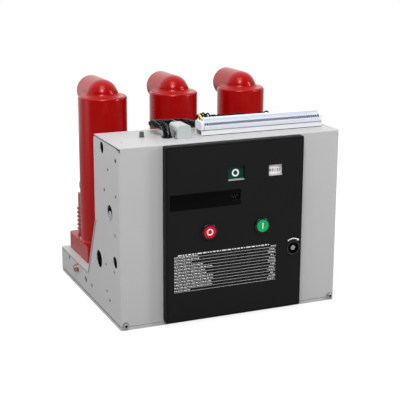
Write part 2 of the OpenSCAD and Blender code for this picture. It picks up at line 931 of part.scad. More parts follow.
// Spring latch across the joint of the hood and its base, on the left near the front
module connector_latch() {
    latch_w = 12;
    latch_t = 2;
    latch_h = plug_base_h + 6;
    color(steel) translate([plug_x - latch_t, plug_y + 5, frame_h + 3]) {
        cube([latch_t, latch_w, latch_h]);
        translate([-latch_t, 0, latch_h - 5]) cube([latch_t + eps, latch_w, 5]);
        translate([-latch_t, 0, 0]) cube([latch_t + eps, latch_w, 5]);
    }
}

// Grommet that lines the loom's hole in the top cover
module loom_grommet() {
    neck_h = cover_t + 2;
    color(black_plastic) translate([loom_x, y_front + loom_y, frame_h]) difference() {
        union() {
            cylinder(r = grommet_r, h = grommet_h);
            translate([0, 0, -neck_h]) cylinder(r = grommet_neck_r, h = neck_h + eps);
        }
        translate([0, 0, -neck_h - eps]) cylinder(r = loom_r + seat_gap, h = neck_h + grommet_h + 2 * eps);
    }
}

// Route of the loom from the frame's centre, front plane and cover: up, round the plug and along behind the row
loom_route = [
    [loom_x, loom_y, -10], [loom_x, loom_y, 3], [-149, 78, 11.5], [-150, 83, 18.5], [-152, 91, 23.5],
    [-155.5, 101, 27], [-159.5, 112, 28.5], [-163, 123, 28], [-164, 135, 26], [-161, 148, 23], [-152, 161, 20.5],
    [-138, 169.5, 18.5], [-122, 173, 17.5], [-105, 171, 18], [-88, 163, 18.5], [-73, 151.5, 19],
    [-58, 138.5, 18.5], [-43, 127, 16.5], [-26, 118.5, 13.5], [-8, back + 1, 11.3], [12, back, lie],
    [36, back, lie], [62, back, lie], [90, back, lie]
];
loom_sides = 12;

// Travel direction of the loom at a route point
function loom_way(i) =
    let (a = loom_route[max(i - 1, 0)], b = loom_route[min(i + 1, len(loom_route) - 1)])
    (b - a) / norm(b - a);
// Across the loom at a route point: level with a direction that the loom never takes
function loom_side(way) = cross([1, 0.3, 1], way) / norm(cross([1, 0.3, 1], way));
// One corner of the loom's ring at a route point
function loom_corner(i, k) =
    let (
        way = loom_way(i),
        side = loom_side(way),
        a = k * 360 / loom_sides
    )
    [0, y_front, frame_h] + loom_route[i] + loom_r * (cos(a) * side + sin(a) * cross(way, side));

// Wrapped bundle of wires from the mechanism box to the terminal row
module wiring_loom() {
    n = len(loom_route);
    rings = [for (i = [0 : n - 1]) for (k = [0 : loom_sides - 1]) loom_corner(i, k)];
    walls = [
        for (i = [0 : n - 2])
            for (k = [0 : loom_sides - 1])
                let (k2 = (k + 1) % loom_sides, a = i * loom_sides, b = a + loom_sides)
                [a + k, b + k, b + k2, a + k2]
    ];
    first = [for (k = [0 : loom_sides - 1]) k];
    last = [for (k = [loom_sides - 1 : -1 : 0]) (n - 1) * loom_sides + k];
    color(black_plastic) polyhedron(rings, concat(walls, [first, last]));
}

base_tray();
left_side_plate();
right_side_plate();
left_foot_plate();
right_foot_plate();
earth_bolts();
top_cover();
rear_wall();
pole_shelf();
rear_skirt();
left_mechanism_plate();
right_mechanism_plate();
main_shaft();
shaft_collars();
front_panel();
indicator_flag();
operation_counter();
spring_flag();
open_button_bezel();
close_button_bezel();
open_button();
close_button();
charging_socket();
charging_shaft();
pole_left();
pole_middle();
pole_right();
upper_terminal_left();
upper_terminal_middle();
upper_terminal_right();
lower_terminal_left();
lower_terminal_middle();
lower_terminal_right();
terminal_rail();
terminal_blocks();
end_stops();
connector_base();
connector_hood();
connector_latch();
loom_grommet();
wiring_loom();
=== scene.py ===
"""Looks of an indoor vacuum circuit breaker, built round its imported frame.

Metres throughout. X runs across the front, Y from the front panel to the poles, Z up.
"""

import logging
import math
from collections.abc import Callable, Iterable, Sequence
from dataclasses import dataclass
from enum import Enum

import bmesh
import bpy
from mathutils import Matrix, Vector

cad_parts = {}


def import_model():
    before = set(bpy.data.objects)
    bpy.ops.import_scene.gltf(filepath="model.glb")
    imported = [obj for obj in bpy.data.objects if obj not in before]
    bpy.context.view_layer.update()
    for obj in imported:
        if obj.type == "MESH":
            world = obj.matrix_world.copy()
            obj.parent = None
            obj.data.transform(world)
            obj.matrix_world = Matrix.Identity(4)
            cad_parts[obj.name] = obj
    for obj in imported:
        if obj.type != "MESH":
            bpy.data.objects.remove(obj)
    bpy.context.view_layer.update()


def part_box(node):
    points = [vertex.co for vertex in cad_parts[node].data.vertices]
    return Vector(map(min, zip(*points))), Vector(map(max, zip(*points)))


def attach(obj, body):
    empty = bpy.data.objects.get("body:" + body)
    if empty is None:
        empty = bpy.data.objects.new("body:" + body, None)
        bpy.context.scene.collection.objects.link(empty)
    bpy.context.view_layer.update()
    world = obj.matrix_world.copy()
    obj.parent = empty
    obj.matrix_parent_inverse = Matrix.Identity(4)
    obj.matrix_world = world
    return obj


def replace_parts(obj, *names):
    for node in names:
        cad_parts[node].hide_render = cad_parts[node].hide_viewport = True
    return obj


LOG = logging.getLogger("breaker")
MM = 0.001
FRAME_BODY = "frame"
FRONT = (0, -1, 0)
BACK = (0, 1, 0)
UP = (0, 0, 1)
# Side plates, and the way that each one's outer face looks along X
SIDES = (("left_side_plate", -1.0), ("right_side_plate", 1.0))
Colour = tuple[float, float, float]
Point = tuple[float, float, float]


def math_operator(operation: str, swapped: bool = False) -> Callable[..., "Signal"]:
    """Makes an operator of Signal that adds one Math node.

    Args:
        operation: Name of the Math operation.
        swapped: Whether the other operand comes first.

    Returns:
        The method.
    """

    def apply(self: "Signal", other: "Signal | float" = 0.0) -> "Signal":
        """Adds the node and returns its result."""
        first, second = (other, self) if swapped else (self, other)
        return self.board.node("ShaderNodeMath", {"operation": operation}, {0: first, 1: second})

    return apply


class Signal:
    """A socket's value in shader maths; a comparison gives 1 where it holds, else 0."""

    def __init__(self, board: "Board", socket: bpy.types.NodeSocket) -> None:
        """Keeps the board and the socket."""
        self.board = board
        self.socket = socket

    __add__ = math_operator("ADD")
    __radd__ = math_operator("ADD", True)
    __sub__ = math_operator("SUBTRACT")
    __rsub__ = math_operator("SUBTRACT", True)
    __mul__ = math_operator("MULTIPLY")
    __truediv__ = math_operator("DIVIDE")
    __pow__ = math_operator("POWER")
    __gt__ = math_operator("GREATER_THAN")
    __abs__ = math_operator("ABSOLUTE")
    rounded = math_operator("ROUND")


class Board:
    """Node tree of one material or world, with a single way to add a node to it."""

    def __init__(self, owner: bpy.types.Material | bpy.types.World) -> None:
        """Clears the owner's tree and takes it over."""
        owner.use_nodes = True
        self.owner = owner
        self.tree = owner.node_tree
        self.tree.nodes.clear()

    def node(
        self,
        kind: str,
        settings: dict[str, object] | None = None,
        sockets: dict[str | int, object] | None = None,
        out: int | str | None = 0,
    ) -> Signal | None:
        """Adds a node.

        Args:
            kind: Blender's name of the node type.
            settings: Properties that are set first.
            sockets: Values or links of the inputs, by name or number.
            out: Name or number of the output that is wanted, or None at the end of a tree.

        Returns:
            The chosen output, or None.
        """
        made = self.tree.nodes.new(kind)
        for key, value in (settings or {}).items():
            setattr(made, key, value)
        for key, value in (sockets or {}).items():
            if isinstance(value, Signal):
                self.tree.links.new(value.socket, made.inputs[key])
            else:
                made.inputs[key].default_value = value
        return None if out is None else Signal(self, made.outputs[out])

    def place(self) -> Signal:
        """Place on the piece, in the part's own frame."""
        return self.node("ShaderNodeTexCoord", out="Object")

    def split(self, where: Signal) -> tuple[Signal, ...]:
        """X, Y and Z of a vector as separate values."""
        parts = self.node("ShaderNodeSeparateXYZ", None, {0: where})
        return tuple(Signal(self, s) for s in parts.socket.node.outputs)

    def ramp(self, value: Signal, start: float, end: float, low: float, high: float) -> Signal:
        """Runs from low to high while a value runs from start to end, and stays there outside."""
        return self.node("ShaderNodeMapRange", None, {0: value, 1: start, 2: end, 3: low, 4: high})

    def noise(self, scale: float, detail: float = 2.0, stretch: Point = (1.0, 1.0, 1.0)) -> Signal:
        """Soft noise from 0 to 1.

        Args:
            scale: Cells per metre.
            detail: Octaves.
            stretch: Factors on the axes, for brushed or drawn surfaces.

        Returns:
            The noise.
        """
        where = self.node("ShaderNodeMapping", None, {"Vector": self.place(), "Scale": stretch})
        sockets = {"Vector": where, "Scale": scale, "Detail": detail}
        return self.node("ShaderNodeTexNoise", None, sockets)

    def blend(self, share: Signal | float, first: Colour | Signal, second: Colour | Signal) -> Signal:
        """Mixes two colours by a share."""
        ends = [c if isinstance(c, Signal) else (*c, 1.0) for c in (first, second)]
        return self.node("ShaderNodeMix", {"data_type": "RGBA"}, {0: share, 6: ends[0], 7: ends[1]}, 2)

    def bump(self, height: Signal, depth: float, strength: float = 1.0) -> Signal:
        """Surface normal that follows a height from 0 to 1 of a depth in metres."""
        sockets = {"Height": height, "Distance": depth, "Strength": strength}
        return self.node("ShaderNodeBump", None, sockets)

    def surface(self, **sockets: object) -> None:
        """Adds the surface shader with these inputs, named with underscores, and the output."""
        named = {key.replace("_", " "): value for key, value in sockets.items()}
        self.end(self.node("ShaderNodeBsdfPrincipled", None, named))

    def end(self, shader: Signal, kind: str = "ShaderNodeOutputMaterial") -> None:
        """Links a shader to the output node that ends the tree."""
        self.node(kind, None, {"Surface": shader}, None)


@dataclass(frozen=True)
class Finish:
    """A surface finish: a name, its colour and the slot that it belongs to."""

    name: str
    colour: Colour
    slot: str
    roughness: float = 0.4

    def shade(self, factor: float) -> Colour:
        """The colour made darker or lighter by a factor."""
        return tuple(min(1.0, c * factor) for c in self.colour)

    def material(self) -> bpy.types.Material:
        """The finish as a material, made once."""
        found = bpy.data.materials.get(self.name)
        if found:
            return found
        board = Board(bpy.data.materials.new(self.name))
        self.dress(board)
        return board.owner

    def tones(self, board: Board, share: Signal, spread: float) -> Signal:
        """The colour, darker and lighter by a spread as a share goes from 0 to 1."""
        return board.blend(share, self.shade(1 - spread), self.shade(1 + spread))

    def uneven(self, *parts: tuple[Signal, float]) -> Signal:
        """The roughness with changes round it, each a noise and its range."""
        rough = self.roughness
        for noise, spread in parts:
            rough = rough + noise * spread
        return rough - sum(spread for _, spread in parts) / 2

    def dress(self, board: Board) -> None:
        """Builds the finish's nodes; each kind of finish has its own."""
        raise NotImplementedError


@dataclass(frozen=True)
class PowderCoat(Finish):
    """Baked powder paint on sheet metal, with orange peel and faint clouding."""

    peel: float = 0.05 * MM
    cloud_scale: float = 6.0
    peel_scale: float = 520.0
    grit_scale: float = 2600.0

    def dress(self, board: Board) -> None:
        """Clouded colour, peel bump and uneven gloss."""
        cloud = board.noise(self.cloud_scale, 4.0)
        peel = board.noise(self.peel_scale)
        grit = board.noise(self.grit_scale, 1.0)
        board.surface(
            Base_Color=self.tones(board, cloud * 0.7 + grit * 0.3, 0.05),
            Roughness=self.uneven((cloud, 0.12)),
            Normal=board.bump(peel * 0.8 + grit * 0.2, self.peel),
        )


@dataclass(frozen=True)
class CastResin(Finish):
    """Glossy cast epoxy with slow waves from the mould and faint pigment clouds."""

    gloss: float = 0.55
    gloss_tint: Colour = (1.0, 0.4, 0.37)
    cloud_scale: float = 5.0
    wave_scale: float = 14.0
    fine_scale: float = 900.0
    wave: float = 0.6 * MM

    def dress(self, board: Board) -> None:
        """Pigment clouds, gloss patches and mould waves."""
        cloud = board.noise(self.cloud_scale, 5.0)
        wave = board.noise(self.wave_scale)
        fine = board.noise(self.fine_scale)
        board.surface(
            Base_Color=self.tones(board, cloud, 0.12),
            Roughness=self.uneven((cloud, 0.08), (fine, 0.04)),
            Specular_IOR_Level=self.gloss,
            Specular_Tint=(*self.gloss_tint, 1.0),
            Normal=board.bump(wave * 0.9 + fine * 0.1, self.wave, 0.08),
        )


@dataclass(frozen=True)
class Moulded(Finish):
    """Moulded plastic with an etched grain."""

    grain: float = 1500.0
    depth: float = 0.04 * MM
    gloss: float = 0.5
    cloud_scale: float = 9.0

    def dress(self, board: Board) -> None:
        """Grain bump and slight tone changes."""
        grain = board.noise(self.grain, 3.0)
        cloud = board.noise(self.cloud_scale, 3.0)
        board.surface(
            Base_Color=self.tones(board, cloud * 0.6 + grain * 0.4, 0.14),
            Roughness=self.uneven((cloud, 0.1)),
            Specular_IOR_Level=self.gloss,
            Normal=board.bump(grain, self.depth),
        )


@dataclass(frozen=True)
class Plated(Finish):
    """Plated or bare metal with drawn scratches and a second tint in patches."""

    tint: Colour = (0.6, 0.6, 0.6)
    patch: float = 60.0
    stretch: Point = (1.0, 1.0, 8.0)
    scratch_scale: float = 900.0
    scratch: float = 0.03 * MM

    def dress(self, board: Board) -> None:
        """Tinted patches and scratches."""
        patch = board.noise(self.patch, 3.0)
        scratch = board.noise(self.scratch_scale, 2.0, self.stretch)
        board.surface(
            Base_Color=board.blend(patch, self.colour, self.tint),
            Metallic=1.0,
            Roughness=self.uneven((patch, 0.16), (scratch, 0.1)),
            Normal=board.bump(scratch, self.scratch),
        )


@dataclass(frozen=True)
class Turned(Finish):
    """Contact metal faced on a lathe: fine rings round the nearest arm's axis."""

    pitch_x: float = 0.21
    low_z: float = 0.255
    pitch_z: float = 0.275
    rings: float = 6000.0
    ring: float = 0.04 * MM
    cloud_scale: float = 45.0

    def dress(self, board: Board) -> None:
        """Rings round each axis, with a tarnish cloud."""
        x, _, z = board.split(board.place())
        across = x - (x / self.pitch_x).rounded() * self.pitch_x
        up = z - self.low_z
        up = up - (up / self.pitch_z).rounded() * self.pitch_z
        reach = (across * across + up * up) ** 0.5
        ring = board.node("ShaderNodeMath", {"operation": "SINE"}, {0: reach * self.rings})
        cloud = board.noise(self.cloud_scale, 4.0)
        board.surface(
            Base_Color=board.blend(cloud, self.shade(0.8), self.shade(1.1)),
            Metallic=1.0,
            Roughness=self.roughness + cloud * 0.15 - 0.05,
            Normal=board.bump(ring * 0.5 + 0.5, self.ring),
        )


@dataclass(frozen=True)
class TerminalPlastic(Finish):
    """Pale plastic of stacked terminals, painted darker at the joint of every pitch as the shade in its
    groove.
    """

    start: float = 0.0
    pitch: float = 6.5 * MM
    joint: float = 0.06
    joint_depth: float = 0.4 * MM
    grain_scale: float = 1200.0

    def dress(self, board: Board) -> None:
        """Painted shade and a groove bump at the joints between the terminals, and a fine grain."""
        x, _, _ = board.split(board.place())
        turn = (x - self.start) / self.pitch
        # Band of each joint between terminals: painted shade in the colour, and a groove in the bump
        joint = 1.0 - (abs(turn - turn.rounded()) > self.joint)
        grain = board.noise(self.grain_scale)
        tone = board.blend(grain, self.shade(0.95), self.shade(1.04))
        board.surface(
            Base_Color=board.blend(joint * 0.75, tone, self.shade(0.3)),
            Roughness=self.uneven((grain, 0.08)),
            Normal=board.bump(1.0 - joint, self.joint_depth),
        )


COAT = PowderCoat("coat_grey", (0.47, 0.47, 0.475), "grey_paint", 0.42)
# Darker copy of the grey coat, painted as the shade along the fold of each side plate's hem
FOLD_SHADE_COAT = PowderCoat("coat_fold_shade", (0.06, 0.064, 0.064), "grey_paint", 0.5)
RESIN = CastResin("resin_red", (0.335, 0.0006, 0.0006), "red_resin", 0.25)
PANEL = Moulded("panel_black", (0.0108, 0.0108, 0.011), "black_plastic", 0.5, 1700.0, 0.00005, 0.08)
BEZEL = Moulded("bezel_black", (0.004, 0.004, 0.004), "bezel_plastic", 0.2, 1500.0, 0.00002, 0.5)
STRIP = Moulded("smoked_strip", (0.0022, 0.0022, 0.0024), "bezel_plastic", 0.42, 700.0, 0.00001, 0.05)
RED_CAP = Moulded("cap_red", (0.52, 0.004, 0.014), "red_cap", 0.25, 900.0, 0.00001, 0.25)
GREEN_CAP = Moulded("cap_green", (0.0, 0.38, 0.095), "green_cap", 0.25, 900.0, 0.00001, 0.25)
FLAG = Moulded("flag_green", (0.002, 0.045, 0.03), "green_flag", 0.4, 900.0, 0.00001, 0.2)
FACE = Moulded("face_white", (0.95, 0.9, 0.91), "counter_face", 0.45, 1200.0, 0.00001, 0.4)
SILL = Moulded("sill_grey", (0.36, 0.34, 0.33), "counter_face", 0.4, 900.0, 0.00002, 0.4)
INK = Moulded("ink_white", (0.9, 0.9, 0.9), "counter_face", 0.55, 1800.0, 0.00001, 0.3)
DIM_INK = Moulded("ink_dim", (0.11, 0.11, 0.11), "counter_face", 0.5, 1800.0, 0.00001, 0.3)
DIGIT = Moulded("ink_digit", (0.1, 0.006, 0.02), "red_cap", 0.5, 1800.0, 0.00001, 0.3)
HOOD = Moulded("hood_grey", (0.48, 0.51, 0.525), "connector_grey", 0.4, 800.0, 0.00006, 0.45)
RAIL = PowderCoat("rail_pale", (0.74, 0.75, 0.77), "connector_grey", 0.45)
MARKER = Moulded("marker_white", (0.78, 0.79, 0.82), "white_plastic", 0.5, 1400.0, 0.00002, 0.4)
LOOM = Moulded("wire_black", (0.0012, 0.0014, 0.0015), "loom_black", 0.26, 900.0, 0.00003, 0.16)
SHEEN = Moulded("wire_sheen", (0.012, 0.017, 0.016), "loom_black", 0.16, 900.0, 0.00002, 0.6)
EARTH = Moulded("wire_yellow", (0.75, 0.6, 0.02), "loom_black", 0.4, 900.0, 0.00003, 0.45)
SHADOW = Moulded("hole_dark", (0.004, 0.004, 0.004), "bezel_plastic", 0.8, 900.0, 0.00001, 0.05)
STEEL = Plated("steel_bright", (0.62, 0.62, 0.6), "steel", 0.28, (0.72, 0.72, 0.72))
ZINC = Plated("zinc_dull", (0.5, 0.51, 0.52), "zinc_plate", 0.45, (0.6, 0.6, 0.6))
YELLOW_ZINC = Plated("zinc_yellow", (0.5, 0.34, 0.19), "yellow_zinc", 0.36, (0.42, 0.3, 0.26), 140.0)
PINK_ZINC = Plated("zinc_pink", (0.6, 0.53, 0.49), "yellow_zinc", 0.38, (0.52, 0.49, 0.47), 140.0)
BLACK_STEEL = Plated("steel_black", (0.02, 0.02, 0.021), "steel", 0.4, (0.03, 0.03, 0.03))
DARK_STEEL = Plated("steel_dark", (0.16, 0.16, 0.165), "steel", 0.38, (0.24, 0.24, 0.24))
COPPER = Turned("copper_faced", (0.72, 0.43, 0.28), "copper", 0.26)


def facing(at: Vector | Point, way: Point) -> Matrix:
    """Turns +Z to a direction and moves the origin to a point.

    Args:
        at: Where the origin goes.
        way: Where +Z points.

    Returns:
        The matrix.
    """
    return Matrix.Translation(Vector(at)) @ Vector(way).to_track_quat("Z", "Y").to_matrix().to_4x4()


def front_of(node: str) -> Vector:
    """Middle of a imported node's front face."""
    low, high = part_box(node)
    return Vector(((low.x + high.x) / 2, low.y, (low.z + high.z) / 2))


def outer_x(node: str, way: float) -> float:
    """X of a node's outer face: the lowest where the way is negative, else the highest."""
    low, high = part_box(node)
    return low.x if way < 0 else high.x


def smooth_path(points: Sequence[Vector], steps: int) -> list[Vector]:
    """Rounds a route through its own points.

    Args:
        points: The route.
        steps: New points for each stretch.

    Returns:
        The finer route.
    """
    ends = [2 * points[0] - points[1], *points, 2 * points[-1] - points[-2]]
    path = []
    for a, b, c, d in zip(ends, ends[1:], ends[2:], ends[3:]):
        square, cube = 2 * a - 5 * b + 4 * c - d, 3 * b - a - 3 * c + d
        for t in (k / steps for k in range(steps)):
            path.append(0.5 * (2 * b + (c - a) * t + square * t**2 + cube * t**3))
    return [*path, points[-1]]


def offsets(base: Vector, steps: Iterable[Point]) -> list[Vector]:
    """Points at offsets in millimetres from a base point."""
    return [base + Vector(step) * MM for step in steps]


class Workpiece:
    """A mesh piece that is started from a blank and shaped step by step."""

    def __init__(self, obj: bpy.types.Object, name: str) -> None:
        """Takes over a new object and names it."""
        self.obj = obj
        obj.name = name
        obj.data.name = name

    @classmethod
    def started(cls, name: str) -> "Workpiece":
        """Takes over the primitive that was just added and puts its place into its mesh."""
        bpy.ops.object.transform_apply(location=True, rotation=True, scale=True)
        return cls(bpy.context.object, name)

    @staticmethod
    def clear() -> None:
        """Leaves edit mode and deselects everything."""
        if bpy.context.object and bpy.context.object.mode != "OBJECT":
            bpy.ops.object.mode_set(mode="OBJECT")
        bpy.ops.object.select_all(action="DESELECT")

    @classmethod
    def block(cls, name: str, low: Point, high: Point) -> "Workpiece":
        """Starts from a box between two corners."""
        cls.clear()
        low, high = Vector(low), Vector(high)
        bpy.ops.mesh.primitive_cube_add(size=1.0, location=(low + high) / 2)
        bpy.context.object.scale = high - low
        return cls.started(name)

    @classmethod
    def rod(
        cls, name: str, radius: float, length: float, sides: int = 24, foot: Point = (0, 0, 0)
    ) -> "Workpiece":
        """Starts from a round bar along +Z that stands on a foot point."""
        cls.clear()
        at = Vector(foot) + Vector((0, 0, length / 2))
        bpy.ops.mesh.primitive_cylinder_add(vertices=sides, radius=radius, depth=length, location=at)
        return cls.started(name)

    @classmethod
    def ring(
        cls, name: str, radius: float, thick: float, flat: float = 1.0, sides: int = 40
    ) -> "Workpiece":
        """Starts from a ring round +Z, flattened along +Z by a factor."""
        cls.clear()
        bpy.ops.mesh.primitive_torus_add(
            major_radius=radius, minor_radius=thick, major_segments=sides, minor_segments=8
        )
        bpy.context.object.scale = (1.0, 1.0, flat)
        return cls.started(name)

    @classmethod
    def tube(cls, name: str, points: Sequence[Vector], radius: float, sides: int = 3) -> "Workpiece":
        """Starts from a round wire along a route, with closed ends.

        Args:
            name: Name of the piece.
            points: The route.
            radius: Radius of the wire.
            sides: Bevel resolution.

        Returns:
            The wire as a mesh.
        """
        cls.clear()
        line = bpy.data.curves.new(name, "CURVE")
        line.dimensions = "3D"
        line.bevel_depth = radius
        line.bevel_resolution = sides
        line.use_fill_caps = True
        spline = line.splines.new("POLY")
        spline.points.add(len(points) - 1)
        for knot, at in zip(spline.points, points):
            knot.co = (*at, 1.0)
        obj = bpy.data.objects.new(name, line)
        bpy.context.scene.collection.objects.link(obj)
        obj.select_set(True)
        bpy.context.view_layer.objects.active = obj
        bpy.ops.object.convert(target="MESH")
        return cls(bpy.context.object, name)

    @classmethod
    def lettering(cls, name: str, text: str, height: float, thick: float, bold: float) -> "Workpiece":
        """Starts from raised characters in the XY plane, centred and made bolder by a width."""
        cls.clear()
        bpy.ops.object.text_add()
        words = bpy.context.object
        words.data.body = text
        words.data.size = height
        words.data.extrude = thick / 2
        words.data.offset = bold
        words.data.resolution_u = 4
        words.data.align_x = "CENTER"
        words.data.align_y = "CENTER"
        bpy.ops.object.convert(target="MESH")
        return cls.started(name)

    def active(self) -> None:
        """Makes this the only selected object, in object mode."""
        self.clear()
        self.obj.select_set(True)
        bpy.context.view_layer.objects.active = self.obj

    def faces(self, test: Callable[[Vector, Vector], bool]) -> "Workpiece":
        """Goes into edit mode and selects the faces that pass a test.

        Args:
            test: Takes a face's centre and normal.

        Returns:
            The piece itself.
        """
        self.active()
        bpy.ops.object.mode_set(mode="EDIT")
        bpy.ops.mesh.select_mode(type="FACE")
        bpy.ops.mesh.select_all(action="DESELECT")
        mesh = bmesh.from_edit_mesh(self.obj.data)
        for face in mesh.faces:
            face.select_set(test(face.calc_center_median(), face.normal))
        bmesh.update_edit_mesh(self.obj.data)
        return self

    def top(self) -> "Workpiece":
        """Selects the highest face that looks up."""
        high = max(v.co.z for v in self.obj.data.vertices)
        return self.faces(lambda centre, normal: normal.z > 0.9 and centre.z > high - 1e-6)

    def inset(self, width: float, depth: float = 0.0) -> "Workpiece":
        """Insets the selected faces and moves them along their normal."""
        bpy.ops.mesh.inset(thickness=width, depth=depth)
        return self

    def push(self, way: Point) -> "Workpiece":
        """Extrudes the selected faces along a vector."""
        bpy.ops.mesh.extrude_region_move(TRANSFORM_OT_translate={"value": way})
        return self

    def paint_picked(self, finish: Finish) -> "Workpiece":
        """Gives the selected faces a finish of their own."""
        mesh = bmesh.from_edit_mesh(self.obj.data)
        picked = [f.index for f in mesh.faces if f.select]
        bpy.ops.object.mode_set(mode="OBJECT")
        self.obj.data.materials.append(finish.material())
        for index in picked:
            self.obj.data.polygons[index].material_index = len(self.obj.data.materials) - 1
        return self

    def paint(self, finish: Finish) -> "Workpiece":
        """Gives the whole piece a finish."""
        self.clear()
        self.obj.data.materials.clear()
        self.obj.data.materials.append(finish.material())
        return self

    def modify(self, kind: str, **settings: object) -> "Workpiece":
        """Adds a modifier with these settings and applies it."""
        self.active()
        made = self.obj.modifiers.new(kind.title(), kind)
        for key, value in settings.items():
            setattr(made, key, value)
        bpy.ops.object.modifier_apply(modifier=made.name)
        return self

    def soften(self, width: float, segments: int = 2, angle: float = 40.0) -> "Workpiece":
        """Bevels every edge that is sharper than an angle in degrees."""
        edges = {"limit_method": "ANGLE", "angle_limit": math.radians(angle)}
        return self.modify("BEVEL", width=width, segments=segments, **edges)

    def cut(self, tool: "Workpiece") -> "Workpiece":
        """Takes another piece's shape out of this one and removes the tool."""
        self.modify("BOOLEAN", operation="DIFFERENCE", object=tool.obj, solver="EXACT")
        bpy.data.objects.remove(tool.obj)
        return self

    def smooth(self, angle: float = 35.0) -> "Workpiece":
        """Shades smooth except over edges sharper than an angle in degrees."""
        self.active()
        bpy.ops.object.shade_smooth_by_angle(angle=math.radians(angle))
        return self

    def move(self, matrix: Matrix) -> "Workpiece":
        """Moves the mesh itself."""
        self.clear()
        self.obj.data.transform(matrix)
        return self

    def flatten(self, centre: Point, factors: Point) -> "Workpiece":
        """Scales the mesh itself along the axes about a centre."""
        there = Matrix.Translation(centre)
        return self.move(there @ Matrix.Diagonal((*factors, 1)) @ there.inverted())

    def repeat(self, places: Iterable[Matrix], name: str) -> "Workpiece":
        """Copies the piece to each place, joins the copies and removes the first.

        Args:
            places: A matrix for each copy.
            name: Name of the joined piece.

        Returns:
            The joined piece.
        """
        copies = []
        for place in places:
            twin = self.obj.copy()
            twin.data = self.obj.data.copy()
            twin.data.transform(place)
            bpy.context.scene.collection.objects.link(twin)
            copies.append(Workpiece(twin, f"{name}_{len(copies)}"))
        bpy.data.objects.remove(self.obj)
        return Workpiece.joined(copies, name)

    @staticmethod
    def joined(pieces: Sequence["Workpiece"], name: str) -> "Workpiece":
        """Joins pieces into the first one under a new name."""
        Workpiece.clear()
        for piece in pieces:
            piece.obj.select_set(True)
        bpy.context.view_layer.objects.active = pieces[0].obj
        if len(pieces) > 1:
            bpy.ops.object.join()
        pieces[0].obj.name = name
        pieces[0].obj.data.name = name
        return pieces[0]

    def mount(self, body: str = FRAME_BODY) -> bpy.types.Object:
        """Sets the piece on a body of the frame and reports it.

        Args:
            body: Body that carries the piece.

        Returns:
            The object.
        """
        self.clear()
        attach(self.obj, body)
        LOG.info("%s rides on %s, %d faces", self.obj.name, body, len(self.obj.data.polygons))
        return self.obj


class Fixing(Enum):
    """Kinds of fastener."""

    EARTH_BOLT = "earth bolt"
    SOCKET_BOLT = "socket bolt"
    STUD = "stud"
    PAN_SCREW = "pan screw"
    RIVET = "rivet"
    OPEN_HOLE = "open hole"
    CLAMP_SCREW = "clamp screw"


